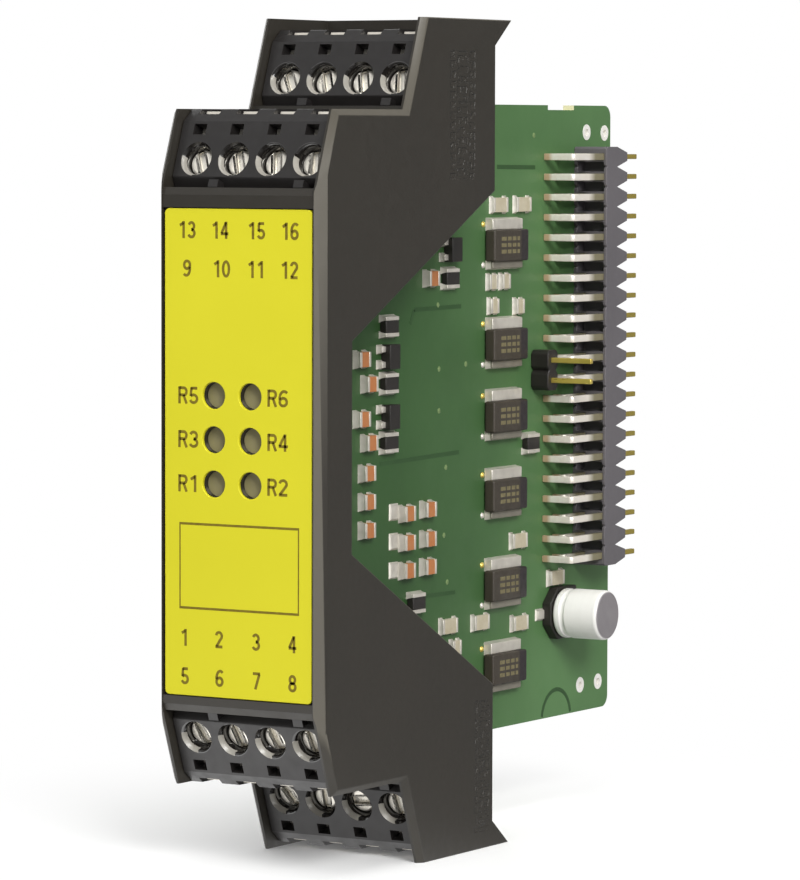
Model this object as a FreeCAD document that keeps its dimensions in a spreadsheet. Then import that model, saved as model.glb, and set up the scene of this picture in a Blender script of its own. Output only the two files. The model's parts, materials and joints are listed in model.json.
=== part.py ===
import FreeCAD, Part
import Sketcher
import math
import os
from types import SimpleNamespace

# Safety controller module: stepped front housing, yellow label, four plug-in screw terminal blocks
# and the circuit board that stands out behind.
# X runs across the width, Y from front to back, Z up. The pieces are drawn in a face frame, with
# Y = 0 at the label's face and Z = 0 at mid height, and each one's placement then carries it to the
# part's own frame, whose origin is under the middle of the module at its standing height.

# Driving dimensions: name, value in millimetres or degrees, meaning
DIMENSIONS = [
    ("width", 22.5, "across the two side walls"),
    ("height", 99, "from arm to arm"),
    ("depth", 87.7, "front edge of the walls to rear edge of the board"),
    ("rim_proud", 0.2, "wall edges ahead of the label's face"),
    ("wall", 1.0, "side wall thickness"),
    ("tilt", 20, "lean of the terminal faces, degrees"),
    ("tier_foot", 29.7, "height where the front edge starts to lean back"),
    ("ledge_height", 39.1, "height of the step between the tiers"),
    ("tier_back", 18.8, "rear tier behind front tier"),
    ("tier_up", 9.4, "rear tier above front tier"),
    ("arm_shift", 0.35, "arms reach further above the middle than below it"),
    ("arm_tip", 42.7, "tip of the arm's hook behind the label"),
    ("arm_root", 38.8, "rear edge of the arm"),
    ("arm_wall_front", 35.5, "cross wall between the arms, front face"),
    ("arm_wall_foot", 41.0, "cross wall between the arms, inner edge"),
    ("hook_rise", 3.1, "height of the hook"),
    ("cut_rear", 29.5, "height of the wall cut-out at the arm"),
    ("cut_front", 6.75, "front edge of the wall cut-out"),
    ("cut_top", 12.7, "height of the cut-out at its front, above the middle"),
    ("cut_bottom", 11.6, "height of the cut-out at its front, below the middle"),
    ("edge_bevel", 0.9, "bevel beside the label, across"),
    ("edge_bevel_back", 1.6, "bevel beside the label, front to back"),
    ("tier_bevel", 0.7, "bevel on the tiers' edges"),
    ("label_width", 20.0, "label plate"),
    ("label_top", 27.75, "label plate, top edge"),
    ("label_bottom", 28.25, "label plate, bottom edge below the middle"),
    ("label_thick", 0.5, "label plate"),
    ("label_corner", 0.6, "label plate corner radius"),
    ("front_wall", 1.4, "front wall thickness behind the label"),
    ("strip_end", 29.3, "outer edge of the strip above and below the label"),
    ("strip_recess", 0.1, "strip behind the wall edges"),
    ("strip_gap", 0.1, "strip to label plate"),
    ("floor_thick", 1.2, "pocket floor"),
    ("floor_front", 0.35, "front end of the pocket floor"),
    ("floor_top", 0.6, "upper face of the pocket floor"),
    ("ledge_drop", 0.05, "bridge between the tiers, below the wall edges"),
    ("ledge_thick", 0.95, "bridge between the tiers"),
    ("ledge_ahead", 2.2, "bridge ahead of the rear tier"),
    ("ledge_behind", 0.8, "bridge under the rear tier"),
    ("rib_level", 16.5, "board ribs above and below the middle"),
    ("rib_half", 2.0, "board rib, half height"),
    ("rib_grip", 2.5, "board rib behind the board's front edge"),
    ("rib_thick", 1.2, "board rib"),
    ("rib_gap", 0.1, "board rib to board"),
    ("pitch", 5.08, "terminal pitch"),
    ("pole_shift", 0.3, "poles to the right of the block's middle"),
    ("block_gap", 0.15, "terminal block to side wall"),
    ("block_face", 1.3, "terminal face behind the wall edges"),
    ("block_foot", 0.8, "lower face of the block"),
    ("foot_bevel", 2.2, "bevel at the foot of the screw face, its upper edge"),
    ("foot_bevel_back", 1.2, "bevel at the foot of the screw face, front to back"),
    ("block_ridge", 8.95, "top of the screw face"),
    ("block_crest", 10.9, "top of the wire entry bevel"),
    ("block_crest_back", 2.5, "wire entry bevel, front to back"),
    ("block_rear", 12.3, "rear face of the block"),
    ("tab_first", -3.95, "pull tab, left one from the middle"),
    ("tab_second", 7.6, "pull tab, right one from the middle"),
    ("tab_half", 0.65, "pull tab, half across"),
    ("tab_proud", 0.6, "pull tab ahead of the screw face"),
    ("tab_tall", 0.9, "pull tab height"),
    ("screw_level", 4.4, "screw axis above the tier's foot"),
    ("screw_bore", 4.1, "screw access hole, its mouth"),
    ("bore_throat", 3.35, "screw access hole, below its funnel"),
    ("funnel_deep", 0.65, "funnel of the screw access hole"),
    ("screw_seat", 3.6, "depth of the screw seat"),
    ("seat_thick", 0.3, "web that the screw head sits on"),
    ("head_width", 3.15, "screw head diameter"),
    ("head_front", 2.6, "depth of the screw head's face"),
    ("head_back", 3.5, "depth of the screw head's underside"),
    ("shank_width", 2.5, "screw shank diameter"),
    ("shank_bore", 2.7, "hole for the shank in the seat"),
    ("shank_tip", 7.15, "depth of the screw's tip"),
    ("slot_width", 0.8, "screwdriver slot"),
    ("slot_deep", 0.55, "screwdriver slot"),
    ("cage_half", 1.85, "clamp cage, half across"),
    ("cage_tall", 3.3, "clamp cage, along the face"),
    ("cage_front", 5.9, "clamp cage front, opened"),
    ("cage_plate", 1.2, "threaded plate of the cage"),
    ("cage_back", 11.3, "clamp cage back, opened"),
    ("cage_sole", 0.8, "clamping plate of the cage"),
    ("cage_window", 1.5, "half width of the cage's window"),
    ("cage_gap", 0.2, "clamp cage to its room, across and behind"),
    ("cage_gap_tall", 0.15, "clamp cage to its room, along the face"),
    ("thread_gap", 0.03, "screw shank to cage, radial"),
    ("slot_level", 8.0, "test slot above the tier's foot"),
    ("slot_half", 0.85, "test slot, half across"),
    ("slot_tall", 1.3, "test slot height"),
    ("entry_half", 1.4, "wire entry, half across"),
    ("mouth_front", 1.7, "wire entry, front end"),
    ("mouth_rear", 10.9, "wire entry, rear end"),
    ("mouth_floor", 10.1, "wire entry, floor ahead of the clamp bar"),
    ("bar_gap", 0.1, "clamp bar to its slot"),
    ("bar_half", 1.2, "clamp bar, half across"),
    ("bar_front", 7.2, "clamp bar, lower run"),
    ("bar_thick", 0.8, "clamp bar"),
    ("bar_foot", 1.1, "clamp bar, lowest edge"),
    ("bar_step", 6.6, "clamp bar, where it steps forward"),
    ("bar_upper", 3.2, "clamp bar, upper run"),
    ("bar_top", 10.85, "clamp bar, top edge"),
    ("fork_tip", 12.0, "spring fork, rear end"),
    ("fork_inner", 0.45, "spring fork leaf to the pin's axis"),
    ("fork_leaf", 0.35, "spring fork leaf thickness"),
    ("fork_top", 2.1, "spring fork, upper edge"),
    ("fork_gap", 0.2, "spring fork to its slot, across"),
    ("fork_gap_up", 0.05, "spring fork to its slot, above"),
    ("pin_half", 0.4, "terminal pin, half across"),
    ("pin_tip", 8.6, "terminal pin, front end"),
    ("pin_low", 1.3, "terminal pin, lower face"),
    ("pin_high", 1.9, "terminal pin, upper face"),
    ("base_front", 12.6, "terminal header, front face"),
    ("base_rear", 16.6, "terminal header, rear face"),
    ("base_top", 5.0, "terminal header, upper face"),
    ("base_gap", 0.3, "terminal header to the wall above it"),
    ("tail_inner", 19.0, "solder tail of the inner pins"),
    ("tail_outer", 20.8, "solder tail of the outer pins"),
    ("board_face", -0.03, "component face of the board"),
    ("board_thick", 1.6, "board thickness"),
    ("board_top", 39.9, "top edge of the board"),
    ("board_bottom", 37.8, "bottom edge below the middle"),
    ("board_front", 6.5, "front edge of the board"),
    ("nose_half", 21.5, "half height of the board's front part"),
    ("waist_front", 17.2, "front edge of the board's middle part"),
    ("waist_half", 30.5, "half height of the board's middle part"),
    ("tail_front", 36.4, "front edge of the board's full height"),
    ("board_corner", 1.5, "rear corner radius"),
    ("board_hole", 1.6, "plated holes near the rear corners"),
    ("notch_front", 71.2, "notch in the board's top edge, front end"),
    ("notch_rear", 77.9, "notch in the board's top edge, rear end"),
    ("notch_deep", 0.6, "notch in the board's top edge"),
    ("window_width", 3.1, "indicator hole in the label"),
    ("window_left", -3.3, "left column of indicators"),
    ("window_right", 1.65, "right column of indicators"),
    ("window_top", 6.4, "top row of indicators"),
    ("window_pitch", 5.07, "indicator rows"),
    ("guide_width", 2.9, "light guide diameter"),
    ("guide_front", 1.1, "light guide face behind the label's face"),
    ("guide_back", 6.6, "light guide rear end"),
    ("guide_flange", 4.4, "light guide flange diameter"),
    ("flange_thick", 0.8, "light guide flange"),
    ("guide_hole", 3.0, "hole for the light guide in the front wall"),
    ("led_front", 6.8, "LED front face"),
    ("led_back", 8.8, "LED rear face"),
    ("led_half", 1.4, "LED, half height"),
    ("header_pitch", 2.54, "rear header pitch"),
    ("header_first", 33.4, "first row of the rear header"),
    ("header_front", 78.0, "rear header body, front face"),
    ("header_shoulder", 80.9, "rear header body, start of its taper"),
    ("header_rear", 83.5, "rear header body, rear face"),
    ("header_tall", 4.75, "rear header body above the board"),
    ("header_nick", 0.25, "rear header body, bevel between its segments"),
    ("header_nose", 0.55, "rear header body, half height of a segment's rear face"),
    ("recess_half", 0.6, "recess between two pins in the header's front, half height"),
    ("recess_deep", 1.8, "recess between two pins in the header's front"),
    ("recess_low", 0.5, "recess above the board, lower edge"),
    ("recess_high", 4.3, "recess above the board, upper edge"),
    ("header_pin", 0.64, "rear header pin, square tip"),
    ("header_leg", 0.85, "rear header pin, width of its bent part"),
    ("leg_upper", 70.5, "foot of the upper pin row"),
    ("leg_lower", 73.04, "foot of the lower pin row"),
    ("row_upper", 4.04, "upper pin row above the board"),
    ("row_lower", 1.5, "lower pin row above the board"),
    ("pins_end", 86.7, "tips of the rear header's pins"),
    ("jumper_level", 6.65, "two-pin header, middle"),
    ("jumper_front", 67.1, "two-pin header, front face"),
    ("jumper_tall", 8.1, "two-pin header, pin tips above the board"),
    ("jumper_nick", 0.45, "two-pin header, cut corners of its segments"),
    ("diode_back", 59.6, "power diodes, middle"),
    ("diode_deep", 8.4, "power diode body, front to back"),
    ("diode_tall", 3.9, "power diode body, along the board"),
    ("diode_high", 1.6, "power diode body above the board"),
    ("diode_lift", 0.15, "power diode body off the board"),
    ("diode_lead_upper", 1.35, "power diode, reach of its upper lead"),
    ("diode_lead_lower", 0.9, "power diode, reach of its lower lead"),
    ("diode_lead_high", 1.0, "power diode lead above the board"),
    ("diode_lead_half", 3.7, "power diode lead, half width"),
    ("cap_back", 73.6, "capacitor, middle"),
    ("cap_level", -24.45, "capacitor, middle"),
    ("cap_width", 6.3, "capacitor can diameter"),
    ("cap_base", 6.6, "capacitor base"),
    ("cap_base_high", 1.3, "capacitor base above the board"),
    ("cap_base_corner", 1.9, "cut corners of the capacitor base"),
    ("cap_lead", 1.6, "capacitor lead reach"),
    ("cap_lead_half", 0.55, "capacitor lead, half width"),
    ("cap_lead_high", 0.35, "capacitor lead above the board"),
    ("cap_high", 7.7, "capacitor above the board"),
    ("cap_rim", 0.5, "rounded ends of the can"),
    ("cap_groove", 0.5, "crimp groove of the can, radius"),
    ("cap_groove_out", 0.25, "crimp groove's middle outside the can"),
    ("cap_groove_up", 1.3, "crimp groove above the base"),
    ("chip_wide", 1.8, "chip part, across"),
    ("chip_end", 0.45, "tinned end of a chip part"),
    ("ceramic_long", 2.4, "chip capacitor, from end to end"),
    ("ceramic_high", 1.0, "chip capacitor above the board"),
    ("resistor_long", 3.6, "large chip resistor, from end to end"),
    ("resistor_short", 2.0, "small chip resistor, from end to end"),
    ("resistor_high", 0.6, "chip resistor above the board"),
    ("small_diode_long", 2.4, "small diode, from end to end"),
    ("small_diode_wide", 3.0, "small diode, across"),
    ("small_diode_high", 0.9, "small diode above the board"),
    ("sot_long", 2.95, "transistor body along the board"),
    ("sot_wide", 2.4, "transistor body, front to back"),
    ("sot_high", 1.3, "transistor body above the board"),
    ("sot_lead", 0.9, "transistor lead reach"),
    ("sot_lead_half", 0.35, "transistor lead, half width"),
    ("sot_lead_out", 0.92, "paired transistor leads from the middle"),
    ("sot_lead_high", 0.7, "transistor lead above the board"),
    ("relay_leg_high", 0.3, "relay leg above the board"),
    ("relay_deep", 14.0, "relay, front to back"),
    ("relay_tall", 9.0, "relay, along the board"),
    ("relay_high", 5.3, "relay above the board"),
    ("relay_leg", 0.9, "relay leg reach"),
    ("relay_leg_half", 0.3, "relay leg, half width"),
    ("relay_leg_pitch", 3.2, "relay legs"),
]

POLES = range(4)
HEADER_ROWS = 21
JUMPER_ROWS = 2
RELAY_LEGS = range(4)
WINDOW_ROWS = range(3)

# Cutting shapes run this far past a face, and joined shapes this far into each other
PAST = 1
BITE = 0.2

# Two lengths closer than this are the same
SAME = 0.01

# Places of the small parts on the board as (behind the label, above the middle), judged by eye
DIODE_LEVELS = [22.5, 10.2, 1.3, -8.5, -19.7, -30.15]
CHIP_CAPACITORS = [
    (27.4, -4.0), (27.4, -7.4), (27.4, -10.8),
    (36.6, -9.4), (36.6, -12.9), (36.6, -16.3),
    (41.5, -9.2), (41.5, -12.8), (41.5, -16.2),
    (26.2, 9.6), (26.2, 2.5), (27.9, 6.6), (27.9, -0.4), (42.1, 18.8),
]
LARGE_RESISTORS = [
    (58.6, 27.5), (64.4, 27.5), (63.8, -14.6), (64.1, -25.0), (54.4, -24.1), (46.7, -23.9), (73.3, -20.0),
]
SMALL_RESISTORS = [(57.0, 18.0), (60.1, 18.0), (57.3, 15.0), (63.6, 14.8), (48.4, -26.7)]
SMALL_DIODES = [(32.4, 13.3), (32.4, 6.5), (32.4, -0.6), (46.6, 18.7), (66.5, -2.5), (38.8, -20.4)]
TRANSISTORS = [(32.4, 9.7), (32.4, 2.5), (46.9, 22.2)]
PLATED_HOLES = [(81.2, 36.5), (85.9, 36.4), (80.2, -34.4), (84.9, -34.4)]
RELAYS = [(43.5, 17.0), (43.5, 3.0), (43.5, -11.0), (61.0, 17.0), (61.0, 3.0), (61.0, -11.0)]

# Slot angles of the screws as they were left, in degrees, by terminal number
SLOT_ANGLES = {
    1: -22, 2: -14, 3: -18, 4: -10, 5: -30, 6: 4, 7: 84, 8: -6,
    9: -24, 10: -20, 11: -12, 12: -8, 13: -28, 14: -20, 15: -16, 16: -10,
}

doc = FreeCAD.newDocument("safety_controller_module")
sheet = doc.addObject("Spreadsheet::Sheet", "dims")


class Size:
    """A number together with the sheet expression that gives it."""

    def __init__(self, number, text):
        self.number = number
        self.text = text

    def __add__(self, other):
        other = size(other)
        return Size(self.number + other.number, f"({self.text} + {other.text})")

    def __sub__(self, other):
        other = size(other)
        return Size(self.number - other.number, f"({self.text} - {other.text})")

    def __mul__(self, other):
        other = size(other)
        return Size(self.number * other.number, f"({self.text} * {other.text})")

    def __truediv__(self, other):
        other = size(other)
        return Size(self.number / other.number, f"({self.text} / {other.text})")

    def __neg__(self):
        return Size(-self.number, f"(-1 * {self.text})")

    __radd__ = __add__
    __rmul__ = __mul__

    def __rsub__(self, other):
        return size(other) - self


def size(value):
    """Takes a plain number or a Size and gives a Size."""
    if isinstance(value, Size):
        return value
    return Size(value, f"({value!r})")


def tangent(angle):
    return Size(math.tan(math.radians(angle.number)), f"tan({angle.text})")


def fill_sheet():
    """Writes the driving dimensions into the sheet and gives them back by name."""
    named = {}
    for row, (name, value, meaning) in enumerate(DIMENSIONS, start=1):
        sheet.set(f"A{row}", name)
        sheet.set(f"B{row}", str(value))
        sheet.set(f"C{row}", meaning)
        sheet.setAlias(f"B{row}", name)
        named[name] = Size(value, f"dims.{name}")
    doc.recompute()
    return SimpleNamespace(**named)


d = fill_sheet()
half_width = d.width / 2
reach_above = d.height / 2 + d.arm_shift
reach_below = d.height / 2 - d.arm_shift
inner_half = half_width - d.wall
mid_depth = d.depth / 2 - d.rim_proud
board_back = d.board_face - d.board_thick
board_rear = d.depth - d.rim_proud
nodes = []


# Small helpers

def bind(thing, setting, value):
    thing.setExpression(setting, size(value).text)


def ordered(span):
    """A low and a high end, whichever way round they were given."""
    low, high = sorted((size(end) for end in span), key=lambda end: end.number)
    return low, high


def box(name, across, along, up):
    """A block between two planes each way."""
    block = doc.addObject("Part::Box", name)
    for setting, axis, span in (("Length", "x", across), ("Width", "y", along), ("Height", "z", up)):
        low, high = ordered(span)
        bind(block, setting, high - low)
        bind(block, f"Placement.Base.{axis}", low)
    return block


def around(middle, half):
    return (size(middle) - half, size(middle) + half)


def lay(thing, axis, low, first, second):
    """Lays a round shape along X or Y, with the middle given on the two other axes in their order."""
    turn = FreeCAD.Rotation(FreeCAD.Vector(1, 0, 0), -90)
    middle = {"x": first, "y": low, "z": second}
    if axis == "x":
        turn = FreeCAD.Rotation(FreeCAD.Vector(0, 1, 0), 90)
        middle = {"x": low, "y": first, "z": second}
    thing.Placement = FreeCAD.Placement(FreeCAD.Vector(), turn)
    for name_of_axis, value in middle.items():
        bind(thing, f"Placement.Base.{name_of_axis}", value)
    return thing


def rod(name, axis, width, first, second, span):
    """A cylinder along X or Y."""
    low, high = ordered(span)
    cylinder = doc.addObject("Part::Cylinder", name)
    bind(cylinder, "Radius", size(width) / 2)
    bind(cylinder, "Height", high - low)
    return lay(cylinder, axis, low, first, second)


def funnel(name, mouth, throat, first, second, span):
    """A cone along Y that narrows towards the back, and runs on a little ahead of its mouth."""
    low, high = ordered(span)
    slope = (mouth - throat) / (high - low)
    cone = doc.addObject("Part::Cone", name)
    bind(cone, "Radius1", (mouth + slope * BITE) / 2)
    bind(cone, "Radius2", throat / 2)
    bind(cone, "Height", high - low + BITE)
    return lay(cone, "y", low - BITE, first, second)


def join(name, pieces):
    joined = doc.addObject("Part::MultiFuse", name)
    joined.Shapes = pieces
    joined.Refine = True
    return joined


def group(name, pieces):
    """Separate solids kept in one object."""
    grouped = doc.addObject("Part::Compound", name)
    grouped.Links = pieces
    return grouped


def less(name, base, tool):
    cut = doc.addObject("Part::Cut", name)
    cut.Base = base
    cut.Tool = tool
    return cut


def plane_of(body, role):
    return next(feature for feature in body.Origin.OriginFeatures if feature.Role == role)


def outline(body, name, role, points, offset=0):
    """A closed sketch of straight edges whose corners are bound to the sheet."""
    sketch = body.newObject("Sketcher::SketchObject", name)
    sketch.AttachmentSupport = [(plane_of(body, role), "")]
    sketch.MapMode = "FlatFace"
    bind(sketch, "AttachmentOffset.Base.z", offset)
    corners = [(size(first), size(second)) for first, second in points]
    places = [FreeCAD.Vector(first.number, second.number, 0) for first, second in corners]
    count = len(corners)
    for index in range(count):
        sketch.addGeometry(Part.LineSegment(places[index], places[(index + 1) % count]))
    for index in range(count):
        sketch.addConstraint(Sketcher.Constraint("Coincident", index, 2, (index + 1) % count, 1))
    for index, corner in enumerate(corners):
        for kind, value in zip(("DistanceX", "DistanceY"), corner):
            held = sketch.addConstraint(Sketcher.Constraint(kind, -1, 1, index, 1, value.number))
            bind(sketch, f"Constraints[{held}]", value)
    return sketch


def pad(body, name, sketch, length, symmetric=False):
    feature = body.newObject("PartDesign::Pad", name)
    feature.Profile = sketch
    bind(feature, "Length", length)
    if symmetric:
        feature.SideType = "Symmetric"
    doc.recompute()
    return feature


def edges_at(feature, test):
    """Names of the feature's edges whose middle passes the test."""
    names = []
    for index, edge in enumerate(feature.Shape.Edges, start=1):
        if test(edge.BoundBox.Center, edge):
            names.append(f"Edge{index}")
    return names


def near(first, second):
    return abs(first - size(second).number) < SAME


def stand(label, thing):
    """Names a finished piece and carries it from the face frame to the part's frame."""
    bind(thing, "Placement.Base.y", -mid_depth)
    bind(thing, "Placement.Base.z", reach_below)
    keep(label, thing)


def keep(label, thing):
    thing.Label = label
    nodes.append(thing)


# The four tiers: their foot in the face frame, and the terminal number of their first pole

def tier(name, side, back, up, first_terminal):
    return SimpleNamespace(name=name, side=side, back=back, up=up, first_terminal=first_terminal)


front_back = -d.rim_proud
rear_back = d.tier_back - d.rim_proud
TIERS = [
    tier("upper_front", 1, front_back, d.tier_foot, 9),
    tier("upper_rear", 1, rear_back, d.tier_foot + d.tier_up, 13),
    tier("lower_front", -1, front_back, d.tier_foot, 1),
    tier("lower_rear", -1, rear_back, d.tier_foot + d.tier_up, 5),
]


def lean(thing, place, stood=False):
    """Leans a piece drawn in its tier's own frame back into the tier."""
    thing.Placement = FreeCAD.Placement(
        FreeCAD.Vector(), FreeCAD.Rotation(FreeCAD.Vector(-place.side, 0, 0), d.tilt.number))
    bind(thing, "Placement.Rotation.Angle", d.tilt)
    back = place.back
    up = place.up * place.side
    if stood:
        back = back - mid_depth
        up = up + reach_below
    bind(thing, "Placement.Base.y", back)
    bind(thing, "Placement.Base.z", up)
    return thing


def up_face(place, low, high):
    """A span along the terminal face, turned over on the lower tiers."""
    return (size(low) * place.side, size(high) * place.side)


def off_middle(index, row):
    """Steps from the middle of a row to one of its places."""
    return index - (len(row) - 1) / 2


def pole_middle(pole):
    return d.pitch * off_middle(pole, POLES) + d.pole_shift


# Front housing

def arm_top(reach):
    """Where the rear tier's leaning edge meets the end of the arm."""
    return rear_back + (reach - d.ledge_height) * tangent(d.tilt)


def wall_half(reach):
    """One half of the wall's outline, from the label's end round the arm to the cut-out."""
    ledge_front = (d.ledge_height - d.tier_foot) * tangent(d.tilt) - d.rim_proud
    return [
        (-d.rim_proud, d.tier_foot), (ledge_front, d.ledge_height),
        (rear_back, d.ledge_height), (arm_top(reach), reach),
        (d.arm_tip, reach), (d.arm_root, reach - d.hook_rise), (d.arm_root, d.cut_rear),
    ]


def side_walls():
    """Both side walls as one body: the right one is drawn and bevelled, the left one mirrored."""
    body = doc.addObject("PartDesign::Body", "side_walls")
    lower = [(back, -up) for back, up in reversed(wall_half(reach_below))]
    cut_out = [(d.cut_front, d.cut_top), (d.cut_front, -d.cut_bottom)]
    sketch = outline(body, "wall_outline", "YZ_Plane", wall_half(reach_above) + cut_out + lower, inner_half)
    walls = pad(body, "wall_pad", sketch, d.wall)

    def label_edge(middle, edge):
        return near(middle.x, half_width) and near(middle.y, -d.rim_proud)

    bevel = body.newObject("PartDesign::Chamfer", "label_edge_bevel")
    bevel.Base = (walls, edges_at(walls, label_edge))
    bevel.ChamferType = "Two distances"
    bind(bevel, "Size", d.edge_bevel)
    bind(bevel, "Size2", d.edge_bevel_back)
    doc.recompute()

    def tier_edge(middle, edge):
        outer = near(middle.x, half_width) and near(edge.BoundBox.XLength, 0)
        leaning = d.tier_foot.number < abs(middle.z)
        return outer and leaning and middle.y < arm_top(reach_below).number

    tier_bevel = body.newObject("PartDesign::Chamfer", "tier_edge_bevel")
    tier_bevel.Base = (bevel, edges_at(bevel, tier_edge))
    bind(tier_bevel, "Size", d.tier_bevel)
    doc.recompute()
    mirrored = body.newObject("PartDesign::Mirrored", "left_wall")
    mirrored.Originals = [walls, bevel, tier_bevel]
    mirrored.MirrorPlane = (plane_of(body, "YZ_Plane"), [""])
    body.Tip = mirrored
    return body


def pocket_floor(place):
    """The sloping floor under a terminal block and its header."""
    floor = box(
        f"floor_{place.name}", around(0, inner_half), (d.floor_front, d.base_rear),
        up_face(place, d.floor_top - d.floor_thick, d.floor_top))
    return lean(group(f"leaning_floor_{place.name}", [floor]), place)


def pocket_back(place):
    """The wall behind a front block, above its header."""
    top = d.block_crest + (d.base_front - d.block_crest_back) * tangent(d.tilt)
    back = box(
        f"pocket_back_{place.name}", around(0, inner_half), (d.base_front, d.base_front + d.floor_thick),
        up_face(place, d.base_top + d.base_gap, top))
    return lean(group(f"leaning_back_{place.name}", [back]), place)


def arm_wall(side, reach):
    """The cross wall between the arms, behind a rear block."""
    deep = (d.arm_wall_front, d.arm_wall_front + d.floor_thick)
    rise = (d.arm_wall_foot * side, reach * side)
    return box(f"arm_wall_{side + 1}", around(0, inner_half), deep, rise)


def window_middles():
    for row in WINDOW_ROWS:
        for column in (d.window_left, d.window_right):
            yield column, d.window_top - d.window_pitch * row


def board_ribs():
    """Two pairs of ribs behind the front wall that take the board's front edge between them."""
    ribs = []
    deep = (d.label_thick + d.front_wall - BITE, d.board_front + d.rib_grip)
    right = d.board_face + d.rib_gap
    left = board_back - d.rib_gap
    for side in (1, -1):
        rise = around(d.rib_level * side, d.rib_half)
        ribs.append(box(f"board_rib_right_{side + 1}", (right, right + d.rib_thick), deep, rise))
        ribs.append(box(f"board_rib_left_{side + 1}", (left - d.rib_thick, left), deep, rise))
    return ribs


def front_housing():
    wall_back = d.label_thick + d.front_wall
    pieces = [side_walls()]
    pieces.append(box("front_wall", around(0, inner_half), (d.label_thick, wall_back), around(0, d.strip_end)))
    strip_front = d.strip_recess - d.rim_proud
    ledge_top = d.ledge_height - d.ledge_drop
    bridge = (rear_back - d.ledge_ahead, rear_back + d.ledge_behind)
    for side, edge in ((1, d.label_top), (-1, d.label_bottom)):
        span = ((edge + d.strip_gap) * side, d.strip_end * side)
        pieces.append(box(f"label_strip_{side + 1}", around(0, inner_half), (strip_front, wall_back), span))
        ledge = ((ledge_top - d.ledge_thick) * side, ledge_top * side)
        pieces.append(box(f"ledge_bridge_{side + 1}", around(0, inner_half), bridge, ledge))
    for place in TIERS:
        pieces.append(pocket_floor(place))
    for place in (TIERS[0], TIERS[2]):
        pieces.append(pocket_back(place))
    for side, reach in ((1, reach_above), (-1, reach_below)):
        pieces.append(arm_wall(side, reach))
    shell = join("housing_shell", pieces + board_ribs())
    holes = []
    for index, (across, level) in enumerate(window_middles()):
        holes.append(rod(f"guide_hole_{index}", "y", d.guide_hole, across, level, (0, wall_back + PAST)))
    stand("front_housing", less("housing", shell, group("guide_holes", holes)))


def front_label():
    body = doc.addObject("PartDesign::Body", "label_plate")
    half = d.label_width / 2
    corners = [(-half, -d.label_bottom), (half, -d.label_bottom), (half, d.label_top), (-half, d.label_top)]
    sketch = outline(body, "label_outline", "XZ_Plane", corners, -d.label_thick)
    plate = pad(body, "label_pad", sketch, d.label_thick)
    rounding = body.newObject("PartDesign::Fillet", "label_corners")
    rounding.Base = (plate, edges_at(plate, lambda middle, edge: near(edge.BoundBox.YLength, d.label_thick)))
    bind(rounding, "Radius", d.label_corner)
    body.Tip = rounding
    holes = []
    for index, (across, level) in enumerate(window_middles()):
        holes.append(rod(f"window_hole_{index}", "y", d.window_width, across, level, around(0, PAST)))
    stand("front_label", less("label", body, group("window_holes", holes)))


def light_guides():
    """Six smoked plugs, each with a flange against the back of the front wall."""
    wall_back = d.label_thick + d.front_wall
    guides = []
    for index, (across, level) in enumerate(window_middles()):
        stem = rod(f"guide_stem_{index}", "y", d.guide_width, across, level, (d.guide_front, d.guide_back))
        collar = (wall_back, wall_back + d.flange_thick)
        flange = rod(f"guide_flange_{index}", "y", d.guide_flange, across, level, collar)
        guides.append(join(f"guide_{index}", [stem, flange]))
    stand("light_guides", group("guides", guides))


def indicator_leds():
    """Side-looking LEDs on both faces of the board, behind the light guides."""
    leds = []
    for index, (across, level) in enumerate(window_middles()):
        on_right = across.number > 0
        reach = (d.board_face, across + d.led_half) if on_right else (across - d.led_half, board_back)
        leds.append(box(f"led_{index}", reach, (d.led_front, d.led_back), around(level, d.led_half)))
    stand("indicator_leds", group("leds", leds))


# Terminal blocks

def block_body(place):
    body = doc.addObject("PartDesign::Body", f"block_body_{place.name}")
    top = d.block_crest + (d.block_rear - d.block_crest_back) * tangent(d.tilt)
    points = [
        (d.block_face + d.foot_bevel_back, d.block_foot), (d.block_face, d.foot_bevel),
        (d.block_face, d.block_ridge), (d.block_crest_back, d.block_crest),
        (d.block_rear, top), (d.block_rear, d.block_foot),
    ]
    turned = [(back, up * place.side) for back, up in points]
    sketch = outline(body, f"block_outline_{place.name}", "YZ_Plane", turned)
    pad(body, f"block_pad_{place.name}", sketch, (inner_half - d.block_gap) * 2, symmetric=True)
    return body


def pull_tabs(place):
    """Two small lugs at the foot of the screw face, for prising the block out."""
    tabs = []
    deep = (d.block_face - d.tab_proud, d.block_face + d.foot_bevel_back + BITE)
    rise = up_face(place, d.block_foot, d.block_foot + d.tab_tall)
    for index, middle in enumerate((d.tab_first, d.tab_second)):
        tabs.append(box(f"tab_{place.name}_{index}", around(middle, d.tab_half), deep, rise))
    return tabs


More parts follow.
